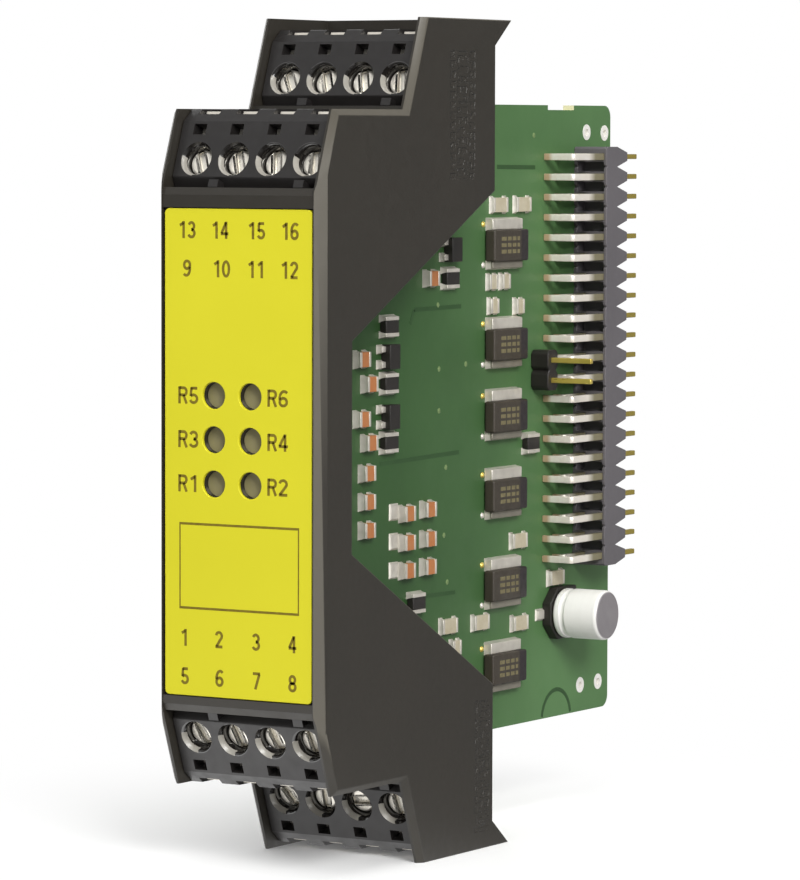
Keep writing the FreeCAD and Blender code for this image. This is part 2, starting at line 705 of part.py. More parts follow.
def pole_hollow(place, pole):
    """Everything that is open inside one pole of a block."""
    tag = f"{place.name}_{pole}"
    x = pole_middle(pole)
    level = d.screw_level * place.side
    bar_slot = around(x, d.entry_half)
    cage_room = (d.screw_seat + d.seat_thick, d.cage_back + d.cage_gap)
    cage_half_tall = d.cage_tall / 2 + d.cage_gap_tall
    bar_back = d.bar_front + d.bar_thick
    step_top = d.bar_step + d.bar_thick
    above = d.block_crest + d.block_rear
    fork_half = d.fork_inner + d.fork_leaf + d.fork_gap
    bore_funnel = (d.block_face, d.block_face + d.funnel_deep)
    hollow = [
        funnel(f"bore_funnel_{tag}", d.screw_bore, d.bore_throat, x, level, bore_funnel),
        rod(f"screw_bore_{tag}", "y", d.bore_throat, x, level, (d.block_face, d.screw_seat)),
        rod(f"shank_bore_{tag}", "y", d.shank_bore, x, level, (d.screw_seat - BITE, cage_room[0] + BITE)),
        box(f"cage_room_{tag}", around(x, d.cage_half + d.cage_gap), cage_room,
            up_face(place, d.screw_level - cage_half_tall, d.screw_level + cage_half_tall)),
        box(f"bar_room_{tag}", bar_slot, (d.bar_front - d.bar_gap, bar_back + d.bar_gap),
            up_face(place, d.bar_foot, step_top)),
        box(f"step_room_{tag}", bar_slot, (d.bar_upper - d.bar_gap, bar_back + d.bar_gap),
            up_face(place, d.bar_step - d.bar_gap, step_top)),
        box(f"upper_room_{tag}", bar_slot, (d.bar_upper - d.bar_gap, d.bar_upper + d.bar_thick + d.bar_gap),
            up_face(place, d.bar_step, above)),
        box(f"wire_way_{tag}", bar_slot, (bar_back, d.mouth_rear), up_face(place, d.screw_level, above)),
        box(f"wire_mouth_{tag}", bar_slot, (d.mouth_front, d.mouth_rear), up_face(place, d.mouth_floor, above)),
        box(f"test_slot_{tag}", around(x - d.pole_shift, d.slot_half), (0, d.bar_upper),
            up_face(place, d.slot_level - d.slot_tall / 2, d.slot_level + d.slot_tall / 2)),
        box(f"fork_room_{tag}", around(x, fork_half), (d.bar_front, d.block_rear + PAST),
            up_face(place, d.bar_foot, d.fork_top + d.fork_gap_up)),
    ]
    return join(f"hollow_{tag}", hollow)


def terminal_block(place):
    solid = join(f"block_solid_{place.name}", [block_body(place)] + pull_tabs(place))
    hollows = group(f"hollows_{place.name}", [pole_hollow(place, pole) for pole in POLES])
    block = lean(less(f"block_{place.name}", solid, hollows), place, stood=True)
    keep(f"terminal_block_{place.name}", block)


def terminal_screw(place, pole):
    number = place.first_terminal + pole
    x = pole_middle(pole)
    level = d.screw_level * place.side
    head = rod(f"head_{number}", "y", d.head_width, x, level, (d.head_front, d.head_back))
    shank = rod(f"shank_{number}", "y", d.shank_width, x, level, (d.head_back - BITE, d.shank_tip))
    slot = box(f"slot_{number}", around(0, d.slot_width / 2), (-PAST, d.slot_deep), around(0, d.head_width))
    turned = group(f"turned_slot_{number}", [slot])
    turned.Placement = FreeCAD.Placement(
        FreeCAD.Vector(), FreeCAD.Rotation(FreeCAD.Vector(0, 1, 0), SLOT_ANGLES[number]))
    bind(turned, "Placement.Base.x", x)
    bind(turned, "Placement.Base.y", d.head_front)
    bind(turned, "Placement.Base.z", level)
    screw = less(f"screw_{number}", join(f"screw_solid_{number}", [head, shank]), turned)
    keep(f"terminal_screw_{number:02d}", lean(screw, place, stood=True))


def clamp_cage(place, pole):
    """A square ring: a threaded plate in front, a clamping plate behind, the wire through its window."""
    number = place.first_terminal + pole
    x = pole_middle(pole)
    level = d.screw_level * place.side
    tall = around(level, d.cage_tall / 2)
    ring = box(f"cage_ring_{number}", around(x, d.cage_half), (d.cage_front, d.cage_back), tall)
    window = box(
        f"cage_window_{number}", around(x, d.cage_window),
        (d.cage_front + d.cage_plate, d.cage_back - d.cage_sole), around(level, d.cage_tall))
    thread = rod(
        f"cage_thread_{number}", "y", d.shank_width + d.thread_gap * 2, x, level,
        (d.cage_front - PAST, d.cage_front + d.cage_plate + BITE))
    cage = less(f"cage_{number}", ring, join(f"cage_cut_{number}", [window, thread]))
    keep(f"clamp_cage_{number:02d}", lean(cage, place, stood=True))


def plug_contacts(place):
    """One stepped clamp bar per pole, ending in a two-leaf spring fork for the header's pin."""
    contacts = []
    for pole in POLES:
        tag = f"{place.name}_{pole}"
        x = pole_middle(pole)
        wide = around(x, d.bar_half)
        bar_back = d.bar_front + d.bar_thick
        step_top = d.bar_step + d.bar_thick - d.bar_gap
        parts = [
            box(f"bar_lower_{tag}", wide, (d.bar_front, bar_back), up_face(place, d.bar_foot, step_top)),
            box(f"bar_step_{tag}", wide, (d.bar_upper, bar_back), up_face(place, d.bar_step, step_top)),
            box(f"bar_upper_{tag}", wide, (d.bar_upper, d.bar_upper + d.bar_thick),
                up_face(place, d.bar_step, d.bar_top)),
        ]
        fork = (d.bar_front, d.fork_tip)
        for side in (1, -1):
            leaf = ((d.fork_inner + d.fork_leaf) * side + x, d.fork_inner * side + x)
            parts.append(box(f"fork_{tag}_{side + 1}", leaf, fork, up_face(place, d.bar_foot, d.fork_top)))
        contacts.append(join(f"contact_{tag}", parts))
    contact_set = group(f"contact_set_{place.name}", contacts)
    keep(f"plug_contacts_{place.name}", lean(contact_set, place, stood=True))


def header_pin(place, pole):
    """A terminal pin that runs back through its header and turns in to the board."""
    tag = f"{place.name}_{pole}"
    x = pole_middle(pole)
    rise = up_face(place, d.pin_low, d.pin_high)
    tail = d.tail_inner if pole in (1, 2) else d.tail_outer
    run = box(f"pin_run_{tag}", around(x, d.pin_half), (d.pin_tip, tail + d.pin_half), rise)
    reach = (d.board_face, x + d.pin_half) if x.number > 0 else (x - d.pin_half, board_back)
    turn = box(f"pin_turn_{tag}", reach, around(tail, d.pin_half), rise)
    return join(f"pin_{tag}", [run, turn])


def terminal_headers():
    bases = []
    all_pins = []
    for place in TIERS:
        pins = group(f"pins_{place.name}", [header_pin(place, pole) for pole in POLES])
        block = box(
            f"header_block_{place.name}", around(0, inner_half - d.block_gap), (d.base_front, d.base_rear),
            up_face(place, d.floor_top, d.base_top))
        bases.append(lean(less(f"header_base_{place.name}", block, pins), place))
        shown = group(f"shown_pins_{place.name}", [pins])
        all_pins.append(lean(shown, place))
    stand("terminal_header_bases", group("header_bases", bases))
    stand("terminal_header_pins", group("header_pins", all_pins))


# Circuit board and what is on it

def circuit_board():
    body = doc.addObject("PartDesign::Body", "board_plate")
    upper = [
        (d.board_front, d.nose_half), (d.waist_front, d.nose_half), (d.waist_front, d.waist_half),
        (d.tail_front, d.waist_half), (d.tail_front, d.board_top), (d.notch_front, d.board_top),
        (d.notch_front, d.board_top - d.notch_deep), (d.notch_rear, d.board_top - d.notch_deep),
        (d.notch_rear, d.board_top), (board_rear, d.board_top),
    ]
    lower = [
        (board_rear, -d.board_bottom), (d.tail_front, -d.board_bottom), (d.tail_front, -d.waist_half),
        (d.waist_front, -d.waist_half), (d.waist_front, -d.nose_half), (d.board_front, -d.nose_half),
    ]
    sketch = outline(body, "board_outline", "YZ_Plane", upper + lower, board_back)
    plate = pad(body, "board_pad", sketch, d.board_thick)

    def rear_corner(middle, edge):
        return near(middle.y, board_rear) and near(edge.BoundBox.XLength, d.board_thick)

    rounding = body.newObject("PartDesign::Fillet", "board_corners")
    rounding.Base = (plate, edges_at(plate, rear_corner))
    bind(rounding, "Radius", d.board_corner)
    body.Tip = rounding
    through = (board_back - PAST, d.board_face + PAST)
    holes = []
    for index, (back, level) in enumerate(PLATED_HOLES):
        holes.append(rod(f"plated_hole_{index}", "x", d.board_hole, back, level, through))
    stand("circuit_board", less("board", body, group("plated_holes", holes)))


def on_board(height, lift=0):
    """A span outward from the component face."""
    return (d.board_face + lift, d.board_face + height)


def header_row(name, leg, row):
    """One row of bent pins: up from the board, then back to the mating tips."""
    body = doc.addObject("PartDesign::Body", f"{name}_body")
    half = d.header_pin / 2
    above = d.board_face + row
    inside = (d.header_front + d.header_rear) / 2
    bent = [
        (d.board_face, leg - half), (above + half, leg - half), (above + half, inside),
        (above - half, inside), (above - half, leg + half), (d.board_face, leg + half),
    ]
    tip = [
        (above - half, inside), (above + half, inside), (above + half, d.pins_end), (above - half, d.pins_end),
    ]
    features = []
    for part, points, width in (("bend", bent, d.header_leg), ("tip", tip, d.header_pin)):
        sketch = outline(body, f"{name}_{part}_outline", "XY_Plane", points, d.header_first - width / 2)
        features.append(pad(body, f"{name}_{part}", sketch, width))
    body.Tip = row_pattern(body, name, features, HEADER_ROWS)
    return body


def row_pattern(body, name, features, rows):
    """Repeats features down a header's rows."""
    pattern = body.newObject("PartDesign::LinearPattern", f"{name}_pattern")
    pattern.Originals = features
    pattern.Direction = (plane_of(body, "Z_Axis"), [""])
    pattern.Reversed = True
    bind(pattern, "Length", d.header_pitch * (rows - 1))
    pattern.Occurrences = rows
    return pattern


def header_recesses():
    """Open recesses in the front of the rear header, one between each pin and the next."""
    recesses = []
    deep = (d.header_front - PAST, d.header_front + d.recess_deep)
    for gap in range(HEADER_ROWS - 1):
        level = d.header_first - d.header_pitch * (gap + 0.5)
        across = on_board(d.recess_high, d.recess_low)
        recesses.append(box(f"header_recess_{gap}", across, deep, around(level, d.recess_half)))
    return recesses


def rear_header():
    pins = group("header_pin_rows", [
        header_row("upper_row", d.leg_upper, d.row_upper),
        header_row("lower_row", d.leg_lower, d.row_lower),
    ])
    body = doc.addObject("PartDesign::Body", "header_body")
    half = d.header_pitch / 2
    nick = d.header_nick
    points = [
        (d.header_front, nick - half), (d.header_front + nick, -half), (d.header_shoulder, -half),
        (d.header_rear, -d.header_nose), (d.header_rear, d.header_nose), (d.header_shoulder, half),
        (d.header_front + nick, half), (d.header_front, half - nick),
    ]
    raised = [(back, d.header_first + up) for back, up in points]
    sketch = outline(body, "segment_outline", "YZ_Plane", raised, d.board_face)
    segment = pad(body, "segment_pad", sketch, d.header_tall)
    body.Tip = row_pattern(body, "segment", [segment], HEADER_ROWS)
    cuts = group("header_cuts", [pins] + header_recesses())
    stand("rear_header_body", less("rear_header", body, cuts))
    stand("rear_header_pins", group("rear_pins", [pins]))


def jumper_header():
    half = d.header_pitch / 2
    middle = d.jumper_front + half
    pins = []
    half_pin = d.header_pin / 2
    for side in (1, -1):
        level = d.jumper_level + half * side
        post = around(middle, half_pin)
        pins.append(box(f"jumper_pin_{side + 1}", on_board(d.jumper_tall), post, around(level, half_pin)))
    posts = group("jumper_posts", pins)
    body = doc.addObject("PartDesign::Body", "jumper_body")
    inner = half - d.jumper_nick
    corners = [
        (-inner, -half), (inner, -half), (half, -inner), (half, inner),
        (inner, half), (-inner, half), (-half, inner), (-half, -inner),
    ]
    raised = [(middle + back, d.jumper_level + half + up) for back, up in corners]
    sketch = outline(body, "jumper_outline", "YZ_Plane", raised, d.board_face)
    segment = pad(body, "jumper_pad", sketch, d.header_pitch)
    body.Tip = row_pattern(body, "jumper_segment", [segment], JUMPER_ROWS)
    stand("jumper_header_body", less("jumper_base", body, posts))
    stand("jumper_header_pins", group("jumper_pins", [posts]))


def power_diodes():
    bodies = []
    leads = []
    half_tall = d.diode_tall / 2
    deep = around(d.diode_back, d.diode_deep / 2)
    flank = around(d.diode_back, d.diode_lead_half)
    for index, level in enumerate(DIODE_LEVELS):
        rise = on_board(d.diode_high, d.diode_lift)
        bodies.append(box(f"diode_{index}", rise, deep, around(level, half_tall)))
        for side, lead in ((1, d.diode_lead_upper), (-1, d.diode_lead_lower)):
            reach = (half_tall * side + level, (half_tall + lead) * side + level)
            leads.append(box(f"diode_lead_{index}_{side + 1}", on_board(d.diode_lead_high), flank, reach))
    stand("power_diodes", group("diodes", bodies))
    stand("power_diode_leads", group("diode_leads", leads))


def capacitor():
    half = d.cap_base / 2
    corner = d.cap_base_corner
    body = doc.addObject("PartDesign::Body", "cap_base_body")
    square = [
        (corner - half, -half), (half, -half), (half, half), (corner - half, half),
        (-half, half - corner), (-half, corner - half),
    ]
    points = [(d.cap_back + back, d.cap_level + up) for back, up in square]
    sketch = outline(body, "cap_base_outline", "YZ_Plane", points, d.board_face)
    pad(body, "cap_base_pad", sketch, d.cap_base_high)
    stand("capacitor_base", body)
    can = rod("cap_can", "x", d.cap_width, d.cap_back, d.cap_level, on_board(d.cap_high, d.cap_base_high))
    doc.recompute()
    rounded = doc.addObject("Part::Fillet", "cap_rounded")
    rounded.Base = can
    rim = d.cap_rim.number
    ends = [index for index, edge in enumerate(can.Shape.Edges, start=1) if len(edge.Vertexes) == 1]
    rounded.Edges = [(index, rim, rim) for index in ends]
    groove = doc.addObject("Part::Torus", "cap_groove")
    bind(groove, "Radius1", d.cap_width / 2 + d.cap_groove_out)
    bind(groove, "Radius2", d.cap_groove)
    groove.Placement = FreeCAD.Placement(
        FreeCAD.Vector(), FreeCAD.Rotation(FreeCAD.Vector(0, 1, 0), 90))
    bind(groove, "Placement.Base.x", d.board_face + d.cap_base_high + d.cap_groove_up)
    bind(groove, "Placement.Base.y", d.cap_back)
    bind(groove, "Placement.Base.z", d.cap_level)
    stand("capacitor_can", less("can", rounded, groove))


def capacitor_leads():
    """One flat lead ahead of the capacitor's base and one behind it."""
    half = d.cap_base / 2
    leads = []
    for side in (1, -1):
        reach = (half * side + d.cap_back, (half + d.cap_lead) * side + d.cap_back)
        width = around(d.cap_level, d.cap_lead_half)
        leads.append(box(f"cap_lead_{side + 1}", on_board(d.cap_lead_high), reach, width))
    return leads


def chips(kind, places, length, width, height, upright=False):
    """Chip parts of one kind, lying front to back or upright: their bodies, and a tinned end either side."""
    bodies = []
    ends = []
    half_long = length / 2
    half_body = half_long - d.chip_end
    for index, (back, level) in enumerate(places):
        middle = level if upright else back
        across = around(back if upright else level, width / 2)
        runs = [(-half_body, half_body), (half_body, half_long), (-half_long, -half_body)]
        blocks = []
        for part, (low, high) in enumerate(runs):
            run = (low + middle, high + middle)
            deep, rise = (across, run) if upright else (run, across)
            blocks.append(box(f"{kind}_{index}_{part}", on_board(height), deep, rise))
        bodies.append(blocks[0])
        ends += blocks[1:]
    return bodies, ends


def transistors():
    """Three-lead transistors: two leads in front, one behind."""
    bodies = []
    leads = []
    for index, (back, level) in enumerate(TRANSISTORS):
        front = back - d.sot_wide / 2
        rear = back + d.sot_wide / 2
        bodies.append(box(f"sot_{index}", on_board(d.sot_high), (front, rear), around(level, d.sot_long / 2)))
        ahead = (front - d.sot_lead, front)
        behind = (rear, rear + d.sot_lead)
        feet = [(ahead, d.sot_lead_out), (ahead, -d.sot_lead_out), (behind, size(0))]
        for lead, (reach, up) in enumerate(feet):
            width = around(up + level, d.sot_lead_half)
            leads.append(box(f"sot_lead_{index}_{lead}", on_board(d.sot_lead_high), reach, width))
    return bodies, leads


def relays():
    """Sealed relays on the hidden face of the board, with four legs above and four below."""
    bodies = []
    legs = []
    half_tall = d.relay_tall / 2
    high = (board_back - d.relay_high, board_back)
    flat = (board_back - d.relay_leg_high, board_back)
    for index, (back, level) in enumerate(RELAYS):
        bodies.append(box(f"relay_{index}", high, around(back, d.relay_deep / 2), around(level, half_tall)))
        for leg in RELAY_LEGS:
            middle = d.relay_leg_pitch * off_middle(leg, RELAY_LEGS) + back
            width = around(middle, d.relay_leg_half)
            for side in (1, -1):
                span = (half_tall * side + level, (half_tall + d.relay_leg) * side + level)
                legs.append(box(f"relay_leg_{index}_{leg}_{side + 1}", flat, width, span))
    return bodies, legs


def small_parts():
    """The small parts, each kind as one group, and one group of all their tinned ends."""
    ceramics = chips("ceramic", CHIP_CAPACITORS, d.ceramic_long, d.chip_wide, d.ceramic_high)
    large = chips("large_resistor", LARGE_RESISTORS, d.resistor_long, d.chip_wide, d.resistor_high)
    small = chips("small_resistor", SMALL_RESISTORS, d.resistor_short, d.chip_wide, d.resistor_high)
    diodes = chips(
        "small_diode", SMALL_DIODES, d.small_diode_long, d.small_diode_wide, d.small_diode_high, upright=True)
    kinds = {
        "chip_capacitors": [ceramics],
        "chip_resistors": [large, small],
        "small_semiconductors": [diodes, transistors()],
        "relays": [relays()],
    }
    tinned = capacitor_leads()
    for label, sets in kinds.items():
        shown = []
        for bodies, ends in sets:
            shown += bodies
            tinned += ends
        stand(label, group(f"{label}_group", shown))
    stand("tinned_ends", group("tinned", tinned))


# Build order

front_housing()
front_label()
light_guides()
indicator_leds()
for place in TIERS:
    terminal_block(place)
    for pole in POLES:
        terminal_screw(place, pole)
        clamp_cage(place, pole)
    plug_contacts(place)
terminal_headers()
circuit_board()
rear_header()
jumper_header()
power_diodes()
capacitor()
small_parts()
doc.recompute()

# Every object and every finished piece has to be sound before anything is written

for thing in doc.Objects:
    if "Invalid" in thing.State or "Error" in thing.State:
        raise RuntimeError(f"{thing.Label} did not build: {thing.State}")
for thing in nodes:
    if thing.Shape.isNull() or not thing.Shape.isValid() or not thing.Shape.Solids:
        raise RuntimeError(f"{thing.Label} has no sound shape")

os.makedirs("parts", exist_ok=True)
for thing in nodes:
    thing.Shape.exportStep(os.path.join("parts", f"{thing.Label}.step"))
    print(thing.Label, len(thing.Shape.Solids), "solids", round(thing.Shape.Volume, 2), "mm3")
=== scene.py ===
# %% [markdown]
# # Dressing a safety controller module
# The module is the front half of a slim housing for a rail: a black moulded shell with a yellow label,
# four plug-in terminal blocks, and the green circuit board that stands out behind. The solids already
# have the right size and place, but shown as they are they would look like a drawing. This lesson gives
# them rounded edges, print, solder and finishes, one piece at a time. Everything is in metres, in the
# same frame as the solids, so a new piece is simply drawn where it belongs.

# %% Load the solids
import json
import math
import bmesh
import bpy
from mathutils import Matrix, Vector


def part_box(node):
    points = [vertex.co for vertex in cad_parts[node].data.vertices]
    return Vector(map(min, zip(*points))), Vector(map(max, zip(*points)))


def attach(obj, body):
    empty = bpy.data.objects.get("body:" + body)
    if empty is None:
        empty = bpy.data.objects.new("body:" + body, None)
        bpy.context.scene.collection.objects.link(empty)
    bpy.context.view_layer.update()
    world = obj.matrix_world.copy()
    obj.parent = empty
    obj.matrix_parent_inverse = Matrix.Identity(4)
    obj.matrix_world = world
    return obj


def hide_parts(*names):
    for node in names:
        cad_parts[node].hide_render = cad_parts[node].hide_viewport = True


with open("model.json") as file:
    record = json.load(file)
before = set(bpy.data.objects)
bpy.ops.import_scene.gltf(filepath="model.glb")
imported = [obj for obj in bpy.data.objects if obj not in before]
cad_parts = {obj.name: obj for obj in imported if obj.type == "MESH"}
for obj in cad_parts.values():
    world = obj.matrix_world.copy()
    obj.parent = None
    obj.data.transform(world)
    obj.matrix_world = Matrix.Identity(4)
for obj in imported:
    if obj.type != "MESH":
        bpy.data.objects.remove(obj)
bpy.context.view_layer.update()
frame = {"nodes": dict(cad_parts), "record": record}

nodes = frame["nodes"]
behaviour = frame["record"]["behaviour"]
home_of = {}
for body, members in behaviour["bodies"].items():
    for node in members:
        home_of[node] = body

# %% [markdown]
# ## One set of measures
# Most places on the module are easiest to give from its face: across from the middle, back from the
# label, up from mid height. They could be worked out one by one in the shared frame, but one small
# function does it for all of them. The label and the board give the planes that it needs, so nothing here
# is measured twice.

# %% Places on the module
MM = 0.001
LABEL_TOP = 27.75
label_low, label_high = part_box("front_label")
board_low, board_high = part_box("circuit_board")
FACE = label_low.y
MIDDLE = label_high.z - LABEL_TOP * MM
BOARD_FACE = board_high.x
BOARD_UNDER = board_low.x


def at(across, back, up):
    """A place given in millimetres from the middle of the label's face."""
    return Vector((across * MM, FACE + back * MM, MIDDLE + up * MM))


print("label face at", round(FACE, 5), "board face at", round(BOARD_FACE, 5))

# %% [markdown]
# ## The camera
# The photograph was taken from the right and slightly above, with a long lens, so the upright edges stay
# nearly parallel. A camera could be placed by eye. Here its turn, dip and distance were found from the
# even spacing of the terminals and of the pin header, so the pieces fall where the photograph has them.
# The view is a little off the picture's middle, which a camera shift gives without turning the camera.

# %% Set the camera
PICTURE_WIDTH = 800
PICTURE_HEIGHT = 880
CAMERA_TURN = math.radians(31.377)
CAMERA_DIP = math.radians(3.804)
CAMERA_ROLL = math.radians(0.153)
CAMERA_PLACE = at(300.735, -457.895, 36.806)
FOCAL_PIXELS = 4816.15
VIEW_MIDDLE = (398.587, 449.567)
SENSOR = 36.0
NEAREST_SEEN = 0.01

sideways = Vector((math.cos(CAMERA_TURN), math.sin(CAMERA_TURN), 0))
level_ahead = Vector((-math.sin(CAMERA_TURN), math.cos(CAMERA_TURN), 0))
upright = Vector((0, 0, 1))
ahead = level_ahead * math.cos(CAMERA_DIP) - upright * math.sin(CAMERA_DIP)
above = upright * math.cos(CAMERA_DIP) + level_ahead * math.sin(CAMERA_DIP)
right = sideways * math.cos(CAMERA_ROLL) + above * math.sin(CAMERA_ROLL)
up = above * math.cos(CAMERA_ROLL) - sideways * math.sin(CAMERA_ROLL)

lens = bpy.data.cameras.new("camera")
lens.sensor_width = SENSOR
lens.lens = FOCAL_PIXELS / PICTURE_HEIGHT * SENSOR
lens.shift_x = (PICTURE_WIDTH / 2 - VIEW_MIDDLE[0]) / PICTURE_HEIGHT
lens.shift_y = (VIEW_MIDDLE[1] - PICTURE_HEIGHT / 2) / PICTURE_HEIGHT
lens.clip_start = NEAREST_SEEN
camera = bpy.data.objects.new("camera", lens)
turned_to = Matrix((right, up, -ahead)).transposed()
camera.matrix_world = Matrix.Translation(CAMERA_PLACE) @ turned_to.to_4x4()
bpy.context.scene.collection.objects.link(camera)
bpy.context.scene.camera = camera
print("lens of", round(lens.lens, 1), "mm")

# %% [markdown]
# ## Short calls for nodes
# The surround, the floor and every finish are trees of small nodes joined by links. They could be put
# together by hand in the node editor, but a script makes the same tree every time. Blender's own calls
# for that are long, so a class that holds one tree gives short names to the few steps that come back
# everywhere.

# %% Node helpers
WHITE = (1, 1, 1, 1)


class Tree:
    """A node tree and short calls for building it."""

    def __init__(self, tree):
        self.tree = tree
        self.link = tree.links.new

    def add(self, kind, values=None, **settings):
        """A new node with its settings, and with values on some of its inputs."""
        node = self.tree.nodes.new(kind)
        for name, value in settings.items():
            setattr(node, name, value)
        for socket, value in (values or {}).items():
            node.inputs[socket].default_value = value
        return node

    def part(self, vector, axis):
        """One part of a vector: X, Y or Z."""
        apart = self.add("ShaderNodeSeparateXYZ")
        self.link(vector, apart.inputs[0])
        return apart.outputs[axis]

    def measure(self, operation, vector, fixed):
        """A vector set against a fixed one, such as their distance."""
        measured = self.add("ShaderNodeVectorMath", {1: fixed}, operation=operation)
        self.link(vector, measured.inputs[0])
        return measured.outputs["Value"]

    def reckon(self, operation, first, second):
        """Two values added, multiplied or otherwise joined."""
        joined = self.add("ShaderNodeMath", operation=operation)
        self.link(first, joined.inputs[0])
        self.link(second, joined.inputs[1])
        return joined.outputs[0]

    def spread(self, value, low, high, least=0.0, most=1.0, **settings):
        """A value brought from one range to another, and kept inside it."""
        limits = {"From Min": low, "From Max": high, "To Min": least, "To Max": most}
        ranged = self.add("ShaderNodeMapRange", limits, **settings)
        self.link(value, ranged.inputs["Value"])
        return ranged.outputs["Result"]

    def choose(self, choice, first, second):
        """The first shader where the choice is nought, the second where it is one."""
        either = self.add("ShaderNodeMixShader")
        self.link(choice, either.inputs["Fac"])
        self.link(first, either.inputs[1])
        self.link(second, either.inputs[2])
        return either.outputs[0]

    def by_ray(self, lighting, mirrored, seen):
        """One shader for the light on dull surfaces, one for mirror images and one for the camera."""
        ray = self.add("ShaderNodeLightPath")
        unseen = self.choose(ray.outputs["Is Glossy Ray"], lighting, mirrored)
        return self.choose(ray.outputs["Is Camera Ray"], unseen, seen)


print("steps for a tree:", [name for name in vars(Tree) if not name.startswith("_")])

# %% [markdown]
# ## The surround
# A product shot like this stands in white surroundings. Black plastic has hardly any colour of its own,
# so what it shows is the room. Cards could be hung around the module, but the world does it with less. It
# is plain white to the camera. To shiny surfaces it is dim, brighter upwards, and brightest at a white
# card on the right, which helps to make the slanted strip beside the label the palest black. The light
# that it sends to dull surfaces is the same from everywhere.

# %% Build the world
SURROUND_LIGHT = 0.50
MIRROR_LEAST = 0.105
MIRROR_UP = 0.36
BRIGHT_FROM = 0.6
CARD_WAY = (0.966, -0.203, 0.163)
CARD_EDGE = 0.86
CARD_MIDDLE = 0.95
CARD_LIGHT = 4.5

scene = bpy.context.scene
scene.view_settings.view_transform = "Standard"
world = bpy.data.worlds.new("white_surround")
scene.world = world
world.use_nodes = True
world.node_tree.nodes.clear()
room = Tree(world.node_tree)
way_out = room.add("ShaderNodeTexCoord").outputs["Generated"]
upward = room.spread(room.part(way_out, "Z"), 0.0, BRIGHT_FROM, MIRROR_LEAST, MIRROR_LEAST + MIRROR_UP)
card = room.spread(room.measure("DOT_PRODUCT", way_out, CARD_WAY), CARD_EDGE, CARD_MIDDLE, 0.0, CARD_LIGHT)
mirrored = room.add("ShaderNodeBackground", {"Color": WHITE})
room.link(room.reckon("ADD", upward, card), mirrored.inputs["Strength"])
lighting = room.add("ShaderNodeBackground", {"Color": WHITE, "Strength": SURROUND_LIGHT})
backdrop = room.add("ShaderNodeBackground", {"Color": WHITE, "Strength": 1.0})
whole = room.by_ray(lighting.outputs[0], mirrored.outputs[0], backdrop.outputs[0])
room.link(whole, room.add("ShaderNodeOutputWorld").inputs["Surface"])
print("world for mirrors from", MIRROR_LEAST, "to", MIRROR_LEAST + MIRROR_UP, "and a card of", CARD_LIGHT)

# %% [markdown]
# ## What a surface tells
# A finish can depend on where a point lies on the piece, and on which way the surface faces there. Both
# could be stored in the mesh, as colours painted on it. The nodes here read them from the piece itself,
# so they hold for every new mesh and move along with the piece. Noise at those places, and a blend of two
# shades by any such value, complete the set.

# %% Surface helpers
class Surface(Tree):
    """A node tree that can read the surface it is on."""

    def coordinates(self, kind):
        """The piece's own coordinates: Object for the place, Normal for the way that the surface faces."""
        return self.add("ShaderNodeTexCoord").outputs[kind]

    def along(self, axis):
        """The place along one axis of the piece, in metres."""
        return self.part(self.coordinates("Object"), axis)

    def facing(self, axis, low, high):
        """How far the surface faces along an axis of the piece, from 0 below low to 1 above high."""
        size = self.add("ShaderNodeMath", operation="ABSOLUTE")
        self.link(self.part(self.coordinates("Normal"), axis), size.inputs[0])
        return self.spread(size.outputs[0], low, high)

    def grain(self, per_metre, detail=3, stretch=(1, 1, 1)):
        """Noise in the piece's own coordinates, from 0 to 1."""
        scaled = self.add("ShaderNodeMapping", {"Scale": stretch})
        self.link(self.coordinates("Object"), scaled.inputs["Vector"])
        noise = self.add("ShaderNodeTexNoise", {"Scale": per_metre, "Detail": detail})
        self.link(scaled.outputs[0], noise.inputs["Vector"])
        return noise.outputs["Fac"]

    def blend(self, share, first, second, **settings):
        """A colour between two, each a fixed shade or the result of other nodes."""
        mix = self.add("ShaderNodeMix", data_type="RGBA", **settings)
        for name, shade in (("A", first), ("B", second)):
            if isinstance(shade, tuple):
                mix.inputs[name].default_value = shade
            else:
                self.link(shade, mix.inputs[name])
        self.link(share, mix.inputs["Factor"])
        return mix.outputs["Result"]


print("readings of a surface:", [name for name in vars(Surface) if not name.startswith("_")])

# %% [markdown]
# ## How a finish is made
# No real surface has one even colour. A picture could be wrapped around each piece, but it would stretch
# and bring its own light along. So every finish here is a Principled shader with a little unevenness: a
# fine noise shifts the colour and the roughness, and another one raises the grain. Numbers that are the
# same all over go straight on the shader. Colours are written as they look on a screen and turned into
# light values.

# %% Finish helpers
NOISE_RANGE = (0.3, 0.7)


def screen(red, green, blue):
    """A screen colour of 0 to 255 as light values, by the standard curve of screens."""
    light = []
    for value in (red / 255, green / 255, blue / 255):
        light.append(value / 12.92 if value <= 0.04045 else ((value + 0.055) / 1.055) ** 2.4)
    return (*light, 1.0)


